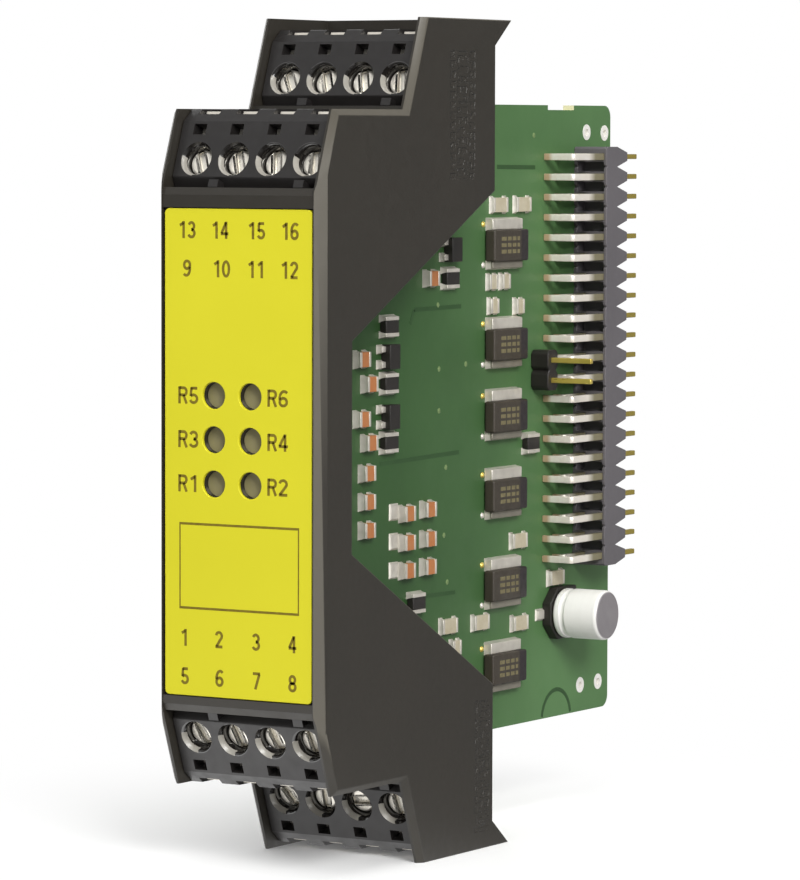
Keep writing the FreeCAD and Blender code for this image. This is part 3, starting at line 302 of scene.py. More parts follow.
class Finish(Surface):
    """A Principled material and short calls for its unevenness."""

    def __init__(self, name, colour, roughness, metallic=0.0, specular=0.5):
        self.material = bpy.data.materials.new(name)
        self.material.use_nodes = True
        super().__init__(self.material.node_tree)
        self.shader = self.tree.nodes["Principled BSDF"]
        self.shader.inputs["Base Color"].default_value = colour
        self.shader.inputs["Roughness"].default_value = roughness
        self.shader.inputs["Metallic"].default_value = metallic
        self.shader.inputs["Specular IOR Level"].default_value = specular

    def feed(self, value, socket):
        """Lets nodes drive one of the shader's sockets."""
        self.link(value, self.shader.inputs[socket])

    def fed_by(self, socket):
        """What drives one of the shader's sockets so far."""
        return self.shader.inputs[socket].links[0].from_socket

    def mottle(self, amount, dark, light):
        """Lets the colour wander between two shades."""
        self.feed(self.blend(amount, dark, light), "Base Color")

    def uneven(self, amount, low, high):
        """Lets the roughness wander between two values."""
        self.feed(self.spread(amount, *NOISE_RANGE, low, high), "Roughness")

    def relief(self, amount, height, strength):
        """Raises the surface by the noise, up to the given height in metres."""
        bump = self.add("ShaderNodeBump", {"Distance": height, "Strength": strength})
        self.link(amount, bump.inputs["Height"])
        self.feed(bump.outputs[0], "Normal")


def mottled(name, light, dark, clouds, roughness, specular=0.5, detail=3):
    """A finish whose colour wanders between two shades, with so many clouds to the metre."""
    paint = Finish(name, light, roughness, specular=specular)
    paint.mottle(paint.grain(clouds, detail), dark, light)
    return paint


print("a middle grey on the screen is", round(screen(128, 128, 128)[0], 3), "as light")

# %% [markdown]
# ## The floor
# The floor is a white sheet. A plain white plane would show a horizon, and a curved backdrop would need
# room behind the module. So the sheet takes the soft shadow close to the module, and further out it turns
# into the same white as the background. What the black plastic mirrors is set apart from that: the sheet
# is bright just in front of the module, which lifts the terminal faces that look down, and dim elsewhere.

# %% Lay the floor
FLOOR_SIDE = 6.0
FLOOR_COLOUR = (0.96, 0.96, 0.95, 1)
FLOOR_ROUGH = 0.9
FADE_PLACE = (0.0, 0.0, 0.0)
FADE_START = 0.0
FADE_END = 0.085
BRIGHT_PLACE = (-0.04, -0.10, 0.0)
BRIGHT_NEAR = 0.045
BRIGHT_FAR = 0.12
NEAR_LIGHT = 2.7
FAR_LIGHT = 0.42
SHEET_LIGHT = 0.55

sheet = Finish("pale_floor", FLOOR_COLOUR, FLOOR_ROUGH, specular=0.0)
place = sheet.coordinates("Object")
from_middle = sheet.measure("DISTANCE", place, FADE_PLACE)
fade = sheet.spread(from_middle, FADE_START, FADE_END, interpolation_type="SMOOTHSTEP")
white = sheet.add("ShaderNodeEmission", {"Color": WHITE, "Strength": 1.0})
faded = sheet.choose(fade, sheet.shader.outputs[0], white.outputs[0])
from_bright = sheet.measure("DISTANCE", place, BRIGHT_PLACE)
mirrored = sheet.add("ShaderNodeEmission", {"Color": WHITE})
falloff = sheet.spread(from_bright, BRIGHT_NEAR, BRIGHT_FAR, NEAR_LIGHT, FAR_LIGHT)
sheet.link(falloff, mirrored.inputs["Strength"])
lighting = sheet.add("ShaderNodeEmission", {"Color": WHITE, "Strength": SHEET_LIGHT})
whole = sheet.by_ray(lighting.outputs[0], mirrored.outputs[0], faded)
sheet.link(whole, sheet.tree.nodes["Material Output"].inputs["Surface"])

floor_mesh = bpy.data.meshes.new("floor")
half = FLOOR_SIDE / 2
floor_corners = [(-half, -half, 0), (half, -half, 0), (half, half, 0), (-half, half, 0)]
floor_mesh.from_pydata(floor_corners, [], [(0, 1, 2, 3)])
floor_mesh.materials.append(sheet.material)
floor = bpy.data.objects.new("floor", floor_mesh)
scene.collection.objects.link(floor)
print("floor of", FLOOR_SIDE, "m")

# %% [markdown]
# ## The lamps
# The capacitor's shadow on the board tells where the main lamp stood: to the right, in front, and about
# as high again as it is far back. A sun lamp would give that direction too, but a hard edge. A fairly
# small soft box gives the clear and slightly soft edge that the shadow has. A second one overhead lights
# the upper faces, and a weak one stands where the screw heads mirror it, up on the left. The last one is
# behind the module and lights the hidden side of the board.

# %% Hang the lamps
LAMPS = [
    ("key_lamp", (0.66, -0.58, 0.47), 0.90, 0.30, 7.0),
    ("top_lamp", (0.15, -0.45, 0.88), 0.90, 0.40, 2.6),
    ("left_lamp", (-0.52, -0.70, 0.50), 1.00, 0.40, 0.6),
    ("back_lamp", (-0.70, 0.62, 0.36), 1.00, 0.60, 3.0),
]


def soft_lamp(name, direction, distance, side, watts):
    """A square soft box that looks at the middle of the module."""
    light = bpy.data.lights.new(name, "AREA")
    light.size = side
    light.energy = watts
    lamp = bpy.data.objects.new(name, light)
    way = Vector(direction).normalized()
    lamp.location = Vector((0, 0, MIDDLE)) + way * distance
    lamp.rotation_mode = "QUATERNION"
    lamp.rotation_quaternion = (-way).to_track_quat("-Z", "Y")
    scene.collection.objects.link(lamp)


for lamp in LAMPS:
    soft_lamp(*lamp)
print("lamps:", len(LAMPS))

# %% [markdown]
# ## Moulded plastics
# The shell and the terminal blocks are black engineering plastic. The mould is eroded to a fine texture,
# so the surface shines softly and evenly. A dark colour with some gloss could stand for it, but looks
# like paint. So the base colour is nearly black and a little warm, and three noises change its shade, its
# shine and its height. The pin header's plastic is a lighter grey.

# %% Black plastics
CLOUDS = 90
SHINY_PATCHES = 700
MOULD_TEXTURE = 5200
TEXTURE_HEIGHT = 0.012 * MM
POLISHED_HEIGHT = 0.002 * MM


def moulded(name, light, dark, least_rough, most_rough, specular=0.5, height=TEXTURE_HEIGHT):
    """A plastic with the fine texture of its mould."""
    paint = mottled(name, light, dark, CLOUDS, most_rough, specular, 4)
    paint.uneven(paint.grain(SHINY_PATCHES, 2), least_rough, most_rough)
    paint.relief(paint.grain(MOULD_TEXTURE, 2), height, 0.5)
    return paint


housing_plastic = moulded("housing_plastic", screen(40, 36, 29), screen(34, 31, 25), 0.46, 0.56)
terminal_plastic = moulded("terminal_plastic", screen(28, 25, 24), screen(23, 21, 20), 0.42, 0.54)
header_plastic = moulded("header_plastic", screen(102, 98, 101), screen(84, 81, 84), 0.40, 0.55)
# A painted glint: this pale plastic on the lower left of each screw funnel stands in for light.
painted_glint_plastic = moulded("painted_glint_plastic", screen(172, 168, 158), screen(136, 132, 124), 0.28, 0.44, 0.6)
polished_plastic = moulded(
    "polished_plastic", screen(30, 27, 25), screen(24, 22, 20), 0.10, 0.18, 0.9, POLISHED_HEIGHT)
print("texture of the plastics:", round(TEXTURE_HEIGHT / MM, 3), "mm")

# %% [markdown]
# ## Metals
# The screws are nickel plated, the contacts, leads and chip ends are tinned, and the upright header pins
# are gilt. A pure metal shader would mirror like chrome. Plating is no perfect mirror: streaks from
# rolling and handling spread its shine, and tin is a soft, greyish white coat that scatters much of its
# light. So a streaky noise drives the roughness, and these finishes are only partly metallic.

# %% Plated metals
STREAKS = 900
SCRATCHES = 2600
SCRATCH_HEIGHT = 0.006 * MM


def plated(name, light, dark, least_rough, most_rough, metallic, stretch=(1, 1, 1)):
    """A plated metal with streaks in its shade and shine."""
    paint = Finish(name, light, most_rough, metallic)
    streaks = paint.grain(STREAKS, 4, stretch)
    paint.mottle(streaks, dark, light)
    paint.uneven(streaks, least_rough, most_rough)
    paint.relief(paint.grain(SCRATCHES, 2, stretch), SCRATCH_HEIGHT, 0.5)
    return paint


screw_nickel = plated("screw_nickel", screen(250, 246, 236), screen(214, 208, 194), 0.24, 0.44, 0.6)
cage_steel = plated("cage_steel", screen(222, 220, 212), screen(176, 174, 168), 0.3, 0.5, 0.9)
tinned_metal = plated("tinned_metal", screen(224, 219, 209), screen(186, 180, 168), 0.36, 0.56, 0.5)
bright_tin = plated("bright_tin", screen(250, 248, 243), screen(236, 232, 224), 0.3, 0.46, 0.15)
# A painted shade: this darker tin goes on the diode leads below, which face away from the light.
painted_shade_tin = plated("painted_shade_tin", screen(150, 145, 132), screen(118, 113, 102), 0.4, 0.6, 0.5)
gold_pin = plated("gold_pin", screen(240, 220, 120), screen(198, 170, 72), 0.26, 0.42, 0.7, (0.2, 1, 1))
print("scratches in the metals:", round(SCRATCH_HEIGHT / MM, 3), "mm")

# %% [markdown]
# The rear header's pins are tinned, painted darker where they enter the header, a painted shade that
# stands in for the header's shade on them, and gilt at the tips where the socket grips them. Each zone
# could be a mesh of its own, but a colour ramp over the place along the depth paints them on every pin at
# once. The flux left a warm tint close to the board, which follows from the height above it.

# %% Pins with gilt tips
pins_low, pins_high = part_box("rear_header_pins")
header_low, header_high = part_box("rear_header_body")
FLUX_SHADE = screen(204, 176, 146)
FLUX_FULL = BOARD_FACE + 0.7 * MM
FLUX_END = BOARD_FACE + 1.3 * MM
TIN_SHADE = screen(246, 241, 233)
# Painted shade: the dull olive near the header stands in for the shade that the header casts on the pins.
PAINTED_PIN_SHADE = screen(144, 138, 112)
GILT_SHADE = screen(158, 142, 62)
WORN_SHADE = screen(230, 225, 216)
PIN_STREAKS = 1400
PIN_SHADES = [
    (pins_low.y, TIN_SHADE), (header_low.y - 3.9 * MM, TIN_SHADE), (header_low.y - 2.2 * MM, PAINTED_PIN_SHADE),
    (header_high.y - 1.0 * MM, PAINTED_PIN_SHADE), (header_high.y - 0.5 * MM, GILT_SHADE),
]


def shade_pins(paint):
    """Shades along the pins from a ramp, with flux at their feet and streaks over it all."""
    ramp = paint.add("ShaderNodeValToRGB")
    marks = ramp.color_ramp.elements
    for index, (where, shade) in enumerate(PIN_SHADES):
        mark = marks[index] if index < len(marks) else marks.new(1.0)
        mark.position = (where - pins_low.y) / (pins_high.y - pins_low.y)
        mark.color = shade
    paint.link(paint.spread(paint.along("Y"), pins_low.y, pins_high.y), ramp.inputs["Fac"])
    foot = paint.spread(paint.along("X"), FLUX_FULL, FLUX_END, 1.0, 0.0)
    tinted = paint.blend(foot, ramp.outputs["Color"], FLUX_SHADE)
    streaks = paint.grain(PIN_STREAKS, 3, (1, 0.2, 1))
    paint.feed(paint.blend(streaks, tinted, WORN_SHADE, blend_type="MULTIPLY"), "Base Color")
    paint.uneven(streaks, 0.32, 0.52)


pin_metal = Finish("pin_metal", TIN_SHADE, 0.4, 0.35)
shade_pins(pin_metal)
print("pin shades:", len(PIN_SHADES))

# %% [markdown]
# ## How a piece is shown
# Some solids only need a finish. Others get a better mesh that stands for them, and print or solder is a
# new mesh altogether. Each new piece has to be tied to the body that it moves with, so one function does
# that for all. Bars, domes, tubes and pen strokes are all rings of corners joined one to the next.
# Blender has ready cylinders and curves for them, but one function for rings makes every kind, and as few
# faces as it needs.

# %% Piece helpers
SHARP = math.radians(35)


def dress(node, paint):
    """Gives a solid that stays as it is a finish."""
    mesh = nodes[node].data
    mesh.materials.clear()
    mesh.materials.append(paint.material)


def show(name, work, body, paint, smooth=SHARP):
    """A mesh under work as a piece that moves with a body and takes its finish from a slot."""
    mesh = bpy.data.meshes.new(name)
    work.to_mesh(mesh)
    work.free()
    mesh.polygons.foreach_set("use_smooth", [True] * len(mesh.polygons))
    mesh.set_sharp_from_angle(angle=smooth)
    mesh.materials.clear()
    mesh.materials.append(paint.material)
    piece = bpy.data.objects.new(name, mesh)
    scene.collection.objects.link(piece)
    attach(piece, body)
    return piece


def show_drawn(name, work, paint, smooth=SHARP):
    """A piece drawn from scratch, with its faces turned outwards, on the module's base."""
    bmesh.ops.recalc_face_normals(work, faces=work.faces)
    return show(name, work, "base", paint, smooth)


def join_rings(work, rings, endless=False):
    """Rings of places joined one to the next, with both ends closed or the last joined to the first."""
    rows = [[work.verts.new(place) for place in ring] for ring in rings]
    followers = rows[1:] + rows[:1] if endless else rows[1:]
    for lower, upper in zip(rows, followers):
        for turn in range(len(lower)):
            work.faces.new((lower[turn - 1], lower[turn], upper[turn], upper[turn - 1]))
    if not endless:
        work.faces.new(rows[0])
        work.faces.new(rows[-1])


print("edges are drawn sharp from", round(math.degrees(SHARP)), "degrees")

# %% [markdown]
# ## Rounding what was moulded
# A solid from the construction has knife edges, and real mouldings don't: a tenth or two of a millimetre
# of rounding is what catches the light along every edge. A bevel modifier could do it, but it can't tell
# a rim from a slot. So a copy of the solid's mesh is welded, its flat faces are joined up again, and the
# edges that a small test picks out are bevelled. Where metal is bent, the wide bend is rounded first. The
# copy then stands for the solid.

# %% Rounding helpers
WELD = 0.002 * MM
FLAT = math.radians(0.5)


def welded(node):
    """A node's mesh with its seams closed, ready for work."""
    work = bmesh.new()
    work.from_mesh(nodes[node].data)
    bmesh.ops.remove_doubles(work, verts=work.verts, dist=WELD)
    return work


def bevelled(work, radius, chosen, steps):
    """Rounds the chosen outer edges of a mesh under work."""
    edges = []
    for edge in work.edges:
        if not edge.is_manifold or not edge.is_convex:
            continue
        if edge.calc_face_angle() > SHARP and (chosen is None or chosen(edge)):
            edges.append(edge)
    bmesh.ops.bevel(work, geom=edges, offset=radius, segments=steps, profile=0.5, affect="EDGES",
                    clamp_overlap=False)


def rounded(node, radius, paint, chosen=None, steps=2, bend=None):
    """A copy of a solid with its outer edges rounded, standing for the solid."""
    work = welded(node)
    bmesh.ops.dissolve_limit(work, angle_limit=FLAT, verts=work.verts, edges=work.edges)
    if bend:
        bevelled(work, *bend)
    bevelled(work, radius, chosen, steps)
    piece = show(f"{node}_rounded", work, home_of[node], paint)
    even = piece.modifiers.new("even_normals", "WEIGHTED_NORMAL")
    even.keep_sharp = True
    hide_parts(node)
    return piece


def direction(edge):
    """The way an edge runs."""
    return (edge.verts[1].co - edge.verts[0].co).normalized()


print("seams are welded within", round(WELD / MM, 3), "mm")

# %% [markdown]
# ## The front housing
# The shell is one moulding: two stepped side walls, a front wall, sloping pocket floors. All its edges
# could be rounded, but the inner ones meet in tight corners that hardly show. The outer edges are what
# the eye follows, so only the edges on the very outside of the walls are picked out.

# %% Round the housing
HOUSING_ROUND = 0.2 * MM
WALL_SKIN = 0.1 * MM
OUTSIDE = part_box("front_housing")[1].x - WALL_SKIN


def on_outer_wall(edge):
    """Edges on the outside of a side wall."""
    return all(abs(corner.co.x) > OUTSIDE for corner in edge.verts)


housing = rounded("front_housing", HOUSING_ROUND, housing_plastic, on_outer_wall)
print("housing faces:", len(housing.data.polygons))

# %% [markdown]
# Each arm has a small field of fine relief: rows of short sunk bars. They could be cut into the mesh one
# by one, but they are too fine to be worth it. A brick pattern, broken up by noise and kept inside two
# fields of the right wall, lowers the surface in the finish instead.

# %% Sunk bars on the arms
BAR_FIELDS = [(28.3, 33.9, 31.0, 46.0), (34.5, 38.0, -47.0, -31.2)]
BAR_CELL = 5.0 * MM
BAR_DEPTH = 0.16 * MM
BAR_PATTERN = {
    "Scale": 1 / BAR_CELL, "Brick Width": 0.24, "Row Height": 0.56, "Mortar Size": 0.05, "Mortar Smooth": 0.4,
    "Color1": WHITE, "Color2": WHITE, "Mortar": (0, 0, 0, 1),
}
BREAKS = 900
BREAK_RANGE = (0.42, 0.52)
FIELD_SOFT = 0.1 * MM


def within(paint, value, low, high):
    """One between two places, nought outside them."""
    above_low = paint.spread(value, low - FIELD_SOFT, low + FIELD_SOFT)
    below_high = paint.spread(value, high - FIELD_SOFT, high + FIELD_SOFT, 1.0, 0.0)
    return paint.reckon("MULTIPLY", above_low, below_high)


def sink_bars(paint):
    """Lowers a broken brick pattern into the fields on the wall."""
    back = paint.along("Y")
    level = paint.along("Z")
    fields = None
    for front, rear, bottom, top in BAR_FIELDS:
        deep = within(paint, back, at(0, front, 0).y, at(0, rear, 0).y)
        tall = within(paint, level, at(0, 0, bottom).z, at(0, 0, top).z)
        field = paint.reckon("MULTIPLY", deep, tall)
        fields = field if fields is None else paint.reckon("MAXIMUM", fields, field)
    wall = within(paint, paint.along("X"), OUTSIDE, 2 * OUTSIDE)
    flat = paint.add("ShaderNodeCombineXYZ")
    paint.link(level, flat.inputs["X"])
    paint.link(back, flat.inputs["Y"])
    bricks = paint.add("ShaderNodeTexBrick", BAR_PATTERN)
    paint.link(flat.outputs[0], bricks.inputs["Vector"])
    broken = paint.spread(paint.grain(BREAKS, 2), *BREAK_RANGE)
    bars = paint.reckon("MULTIPLY", bricks.outputs["Color"], broken)
    sunk = paint.reckon("MULTIPLY", bars, paint.reckon("MULTIPLY", fields, wall))
    bump = paint.add("ShaderNodeBump", {"Distance": BAR_DEPTH, "Strength": 1.0}, invert=True)
    paint.link(sunk, bump.inputs["Height"])
    paint.link(paint.fed_by("Normal"), bump.inputs["Normal"])
    paint.feed(bump.outputs[0], "Normal")


sink_bars(housing_plastic)
print("fields of bars:", len(BAR_FIELDS))

# %% [markdown]
# The slanted strips beside the label and along the tiers are painted paler than the walls: a painted
# sheen that stands in for the light they catch from the right. They could be picked face by face and
# given a second finish, with a hard border. Here the finish itself finds the faces that look neither
# straight to the side nor straight ahead, and fades into them. The ones that look down catch little
# light, and get little of the painted sheen.

# %% Paint sheen on the slanted strips
# The paler shade is a painted sheen: it stands in for the light that the slanted strips catch.
PAINTED_SHEEN_SHADE = screen(78, 74, 65)
SLANT_LEAST = (0.5, 0.62)
SLANT_MOST = (0.9, 0.97)
DOWNWARD = (-0.2, -0.05)
LEAST_SHEEN = 0.2


def rub_strips(paint):
    """Blends a painted sheen, a paler shade, into the slanted faces."""
    beyond_front = paint.facing("X", *SLANT_LEAST)
    straight_aside = paint.facing("X", *SLANT_MOST)
    slanted = paint.reckon("SUBTRACT", beyond_front, straight_aside)
    looks_up = paint.part(paint.coordinates("Normal"), "Z")
    sheen_by_lean = paint.spread(looks_up, *DOWNWARD, LEAST_SHEEN, 1.0)
    painted_pale = paint.reckon("MULTIPLY", slanted, sheen_by_lean)
    # Painted sheen: the base colour turns paler where the strips would catch the light.
    paint.feed(paint.blend(painted_pale, paint.fed_by("Base Color"), PAINTED_SHEEN_SHADE), "Base Color")


rub_strips(housing_plastic)
print("strips rubbed between slants of", SLANT_LEAST[0], "and", SLANT_MOST[1])

# %% [markdown]
# ## Terminal blocks
# Each block is a moulding with four screw holes, a test slot beside each, and wire mouths along its
# bevelled edge. Its long edges are rounded. The screw holes were made by polished core pins of the mould,
# so their walls mirror the lamps and the screw heads. They start as funnels, and the lower left side of
# each funnel is painted pale: a painted glint where the light from above and to the right falls on it.
# The faces could be marked by hand, but every rebuild of the solid would lose the marks. So the walls are
# found by their distance from the screws, and the side with the painted glint by its lean and its
# direction.

# %% Dress the blocks
TERMINALS = ("upper_front", "upper_rear", "lower_front", "lower_rear")
BLOCK_ROUND = 0.12 * MM
LONG_EDGE = 2.0 * MM
STRAIGHT = 0.999
BORE_LEAST = 1.6 * MM
BORE_MOST = 2.1 * MM
BORE_LEAN = 0.8
FUNNEL_LEAN = 0.3
# The painted glint sits on the funnel side that lies this way from the screw's line.
GLINT_WAY = Vector((-0.8, 0.0, -0.6))
GLINT_SHARE = 0.68
OUTER, POLISHED, PAINTED_GLINT = range(3)
screw_lines = []
for joint in behaviour["joints"]:
    if joint["name"].startswith("screw_"):
        screw_lines.append((Vector(joint["pos_m"]), Vector(joint["axis"])))


def runs_across(edge):
    """Long edges from side to side."""
    return edge.calc_length() > LONG_EDGE and abs(direction(edge).x) > STRAIGHT


def aside_of(place, start, way):
    """How a place lies beside a screw's line, square to the line."""
    offset = place - start
    return offset - way * offset.dot(way)


def finish_index(face):
    """The finish of a block's face: outer, on the wall of a screw hole, or on its side with a painted glint.
    """
    for start, way in screw_lines:
        aside = aside_of(face.center, start, way)
        slope = abs(face.normal.dot(way))
        if BORE_LEAST < aside.length < BORE_MOST and slope < BORE_LEAN:
            # Funnel faces on the lower left get the pale plastic, a painted glint where the light falls.
            glinting = slope > FUNNEL_LEAN and aside.normalized().dot(GLINT_WAY) > GLINT_SHARE
            return PAINTED_GLINT if glinting else POLISHED
    return OUTER


hole_faces = 0
for tier in TERMINALS:
    block = rounded(f"terminal_block_{tier}", BLOCK_ROUND, terminal_plastic, runs_across)
    block.data.materials.append(polished_plastic.material)
    block.data.materials.append(painted_glint_plastic.material)
    for face in block.data.polygons:
        face.material_index = finish_index(face)
        hole_faces += face.material_index != OUTER
    dress(f"plug_contacts_{tier}", tinned_metal)
print("faces in screw holes:", hole_faces)

# %% [markdown]
# ## Screws and clamps
# The screw heads are turned from nickel plated brass, and domed. A new head could be turned from a
# profile, but then its slot would have to be cut again. A wide rounding of the rim makes the dome, and
# leaves the slot sharp. The clamp cages and the pins behind them only show through the wire mouths, so
# they get a finish alone.

# %% Dress the screws
SCREW_COUNT = 16
SCREW_ROUND = 0.36 * MM
SCREW_STEPS = 4
RIM_LEAST = 1.5 * MM
RIM_LEAN = 0.1


def on_head_rim(edge):
    """Edges around a screw's line, at the head's full width."""
    for start, way in screw_lines:
        reach = [aside_of(corner.co, start, way).length for corner in edge.verts]
        if RIM_LEAST < min(reach) and max(reach) < BORE_MOST:
            return abs(direction(edge).dot(way)) < RIM_LEAN
    return False


for number in range(1, SCREW_COUNT + 1):
    rounded(f"terminal_screw_{number:02d}", SCREW_ROUND, screw_nickel, on_head_rim, SCREW_STEPS)
    dress(f"clamp_cage_{number:02d}", cage_steel)
dress("terminal_header_bases", terminal_plastic)
dress("terminal_header_pins", tinned_metal)
print("screws dressed:", SCREW_COUNT)

# %% [markdown]
# ## The label
# A smooth plate dyed yellow right through. One even yellow would look like paper, and a strong noise like
# stone. So the colour has only the faintest clouds, and a low relief lets it shine a little unevenly.

# %% Label finish
LABEL_ROUND = 0.08 * MM
LABEL_CLOUDS = 60
LABEL_PATCHES = 500
LABEL_TEXTURE = 3000
LABEL_RELIEF = 0.006 * MM
label_yellow = mottled(
    "label_yellow", screen(210, 203, 37), screen(202, 195, 32), LABEL_CLOUDS, roughness=0.5, specular=0.3)
label_yellow.uneven(label_yellow.grain(LABEL_PATCHES, 2), 0.42, 0.55)
label_yellow.relief(label_yellow.grain(LABEL_TEXTURE, 2), LABEL_RELIEF, 0.4)
label = rounded("front_label", LABEL_ROUND, label_yellow)
print("label faces:", len(label.data.polygons))

# %% [markdown]
# ## Numerals drawn with a pen
# The numbers beside the terminals are plain upright numerals of even thickness. Blender's text objects
# could write them, but their typeface has strokes of its own. They are drawn here as a sign maker would:
# each one is a few strokes of a broad pen, straight or along part of an ellipse, in a box that is one
# unit high. A nine is a six turned round.

# %% Strokes of the numerals
GLYPH_WIDTH = 0.56
GLYPH_GAP = 0.08
PEN = 0.17


def bow(middle_x, middle_y, reach_x, reach_y, start, end, steps=12):
    """Points along part of an ellipse, from one angle to another in degrees."""
    points = []
    for step in range(steps + 1):
        angle = math.radians(start + (end - start) * step / steps)
        points.append((middle_x + reach_x * math.cos(angle), middle_y + reach_y * math.sin(angle)))
    return points


def line(*points):
    """An open stroke through points."""
    return (False, list(points))


def ring(middle_x, middle_y, reach_x, reach_y):
    """A closed stroke along a whole ellipse: its last point isn't repeated."""
    return (True, bow(middle_x, middle_y, reach_x, reach_y, 0, 360, 20)[:-1])


def turned(strokes):
    """The same strokes after half a turn."""
    return [(closed, [(GLYPH_WIDTH - x, 1 - y) for x, y in points]) for closed, points in strokes]


SIX = [ring(0.28, 0.30, 0.205, 0.225), line(*bow(0.335, 0.5, 0.26, 0.425, 190, 50))]
R_BOWL = bow(0.34, 0.715, 0.15, 0.21, 80, -80)
GLYPHS = {
    "0": [ring(0.28, 0.5, 0.205, 0.425)],
    "1": [line((0.36, 0.0), (0.36, 1.0)), line((0.10, 0.75), (0.35, 0.90))],
    "2": [line(*bow(0.28, 0.71, 0.20, 0.215, 170, -35), (0.10, 0.10)), line((0.03, 0.075), (0.52, 0.075))],
    "3": [line(*bow(0.27, 0.715, 0.19, 0.21, 160, -90)), line(*bow(0.27, 0.29, 0.215, 0.215, 90, -160))],
    "4": [line((0.39, 0.0), (0.39, 1.0)), line((0.37, 0.95), (0.07, 0.31)), line((0.02, 0.29), (0.55, 0.29))],
    "5": [line((0.49, 0.925), (0.12, 0.925)), line((0.15, 0.95), (0.10, 0.46)),
          line(*bow(0.27, 0.305, 0.21, 0.23, 140, -160))],
    "6": SIX,
    "7": [line((0.03, 0.925), (0.53, 0.925)), line((0.48, 0.90), (0.20, 0.0))],
    "8": [ring(0.28, 0.715, 0.18, 0.21), ring(0.28, 0.29, 0.205, 0.215)],
    "9": turned(SIX),
    "R": [line((0.08, 0.0), (0.08, 1.0)),
          line((0.08, 0.925), (0.34, 0.925), *R_BOWL, (0.34, 0.505), (0.08, 0.505)),
          line((0.32, 0.505), (0.50, 0.0))],
}
print("glyphs:", len(GLYPHS), "strokes:", sum(len(strokes) for strokes in GLYPHS.values()))

# %% [markdown]
# The ink lies on the plate as a skin a hundredth of a millimetre thick. A colour in the label's finish
# could stand for it, but its edges would be blurred. So each stroke becomes a flat bar that follows its
# points, with half the pen's width to each side.

# %% The pen
PRINT_LIFT = 0.012 * MM
PEN_CORNERS = ((1, -PRINT_LIFT), (-1, -PRINT_LIFT), (-1, PRINT_LIFT), (1, PRINT_LIFT))


def stroke(work, start, points, pen, closed):
    """One pen stroke as a thin flat bar on the label's face."""
    count = len(points)
    rings = []
    for index, point in enumerate(points):
        before = points[index - 1] if closed or index > 0 else point
        after = points[(index + 1) % count] if closed or index < count - 1 else point
        way = (after - before).normalized()
        aside = Vector((-way.y, way.x)) * pen / 2
        corners = []
        for side, depth in PEN_CORNERS:
            flat = point + aside * side
            corners.append(start + Vector((flat.x, depth, flat.y)))
        rings.append(corners)
    join_rings(work, rings, closed)


def write(work, words, across, level, height, wide=1.0):
    """Numerals in a row, centred on a place of the label."""
    length = (len(words) * (GLYPH_WIDTH + GLYPH_GAP) - GLYPH_GAP) * height * wide
    start = at(across - length / 2, 0, level - height / 2)
    for index, letter in enumerate(words):
        shift = index * (GLYPH_WIDTH + GLYPH_GAP)
        for closed, points in GLYPHS[letter]:
            drawn = [Vector(((x + shift) * wide, y)) * height * MM for x, y in points]
            stroke(work, start, drawn, PEN * height * MM, closed)


print("ink", round(PRINT_LIFT / MM, 3), "mm thick")

# %% [markdown]
# Four rows of terminal numbers stand above and below, and each window has its own name beside it, a
# little wider than the numbers. They could be separate pieces, but they are one print, so all strokes go
# into one mesh.

# %% Print on the label
PRINT_HEIGHT = 1.95
NAME_WIDE = 1.2
NUMBER_ROWS = [
    ((13, 14, 15, 16), (-6.92, -2.40, 2.55, 7.05), 25.3),
    ((9, 10, 11, 12), (-6.92, -2.20, 2.49, 6.99), 20.9),
    ((1, 2, 3, 4), (-7.29, -2.53, 2.52, 7.45), -21.55),
    ((5, 6, 7, 8), (-7.22, -2.46, 2.59, 7.46), -26.0),
]
INDICATOR_ROWS = [(("R5", "R6"), 6.35), (("R3", "R4"), 1.32), (("R1", "R2"), -3.77)]
INDICATOR_PLACES = (-6.75, 5.43)
INK_CLOUDS = 1600
print_ink = mottled(
    "print_ink", screen(136, 120, 34), screen(92, 78, 22), INK_CLOUDS, roughness=0.6, specular=0.2)
ink = bmesh.new()
for numbers, places, level in NUMBER_ROWS:
    for number, across in zip(numbers, places):
        write(ink, str(number), across, level, PRINT_HEIGHT)
for names, level in INDICATOR_ROWS:
    for name, across in zip(names, INDICATOR_PLACES):
        write(ink, name, across, level, PRINT_HEIGHT, NAME_WIDE)
numerals = show_drawn("terminal_numbers", ink, print_ink)
print("numeral faces:", len(numerals.data.polygons))

# %% [markdown]
# Below the windows is an empty field for the owner's own mark, framed by a thin printed line. A frame
# could be four bars, with corners to fit together. One closed stroke of a thinner pen has its corners
# already.

# %% The empty field
FIELD_LEFT, FIELD_RIGHT, FIELD_BOTTOM, FIELD_TOP = (-7.9, 8.25, -18.1, -8.4)
FIELD_LINE = 0.33 * MM
corners = [
    at(FIELD_LEFT, 0, FIELD_BOTTOM), at(FIELD_RIGHT, 0, FIELD_BOTTOM),
    at(FIELD_RIGHT, 0, FIELD_TOP), at(FIELD_LEFT, 0, FIELD_TOP),
]
outline = [Vector((corner.x, corner.z)) for corner in corners]
field = bmesh.new()
stroke(field, Vector((0, FACE, 0)), outline, FIELD_LINE, True)
show_drawn("empty_field", field, print_ink)
print("field of", round(FIELD_RIGHT - FIELD_LEFT, 1), "by", round(FIELD_TOP - FIELD_BOTTOM, 1), "mm")

# %% [markdown]
# ## Indicator windows
# The windows are smoked light guides set a little back in their holes: dark while the lamps behind them
# are off, with a soft shine. Clear dark glass would show the hollow behind it, and the real ones look
# milky, so a closed and faintly cloudy finish was chosen. The lamps themselves are small white cases on
# the board.

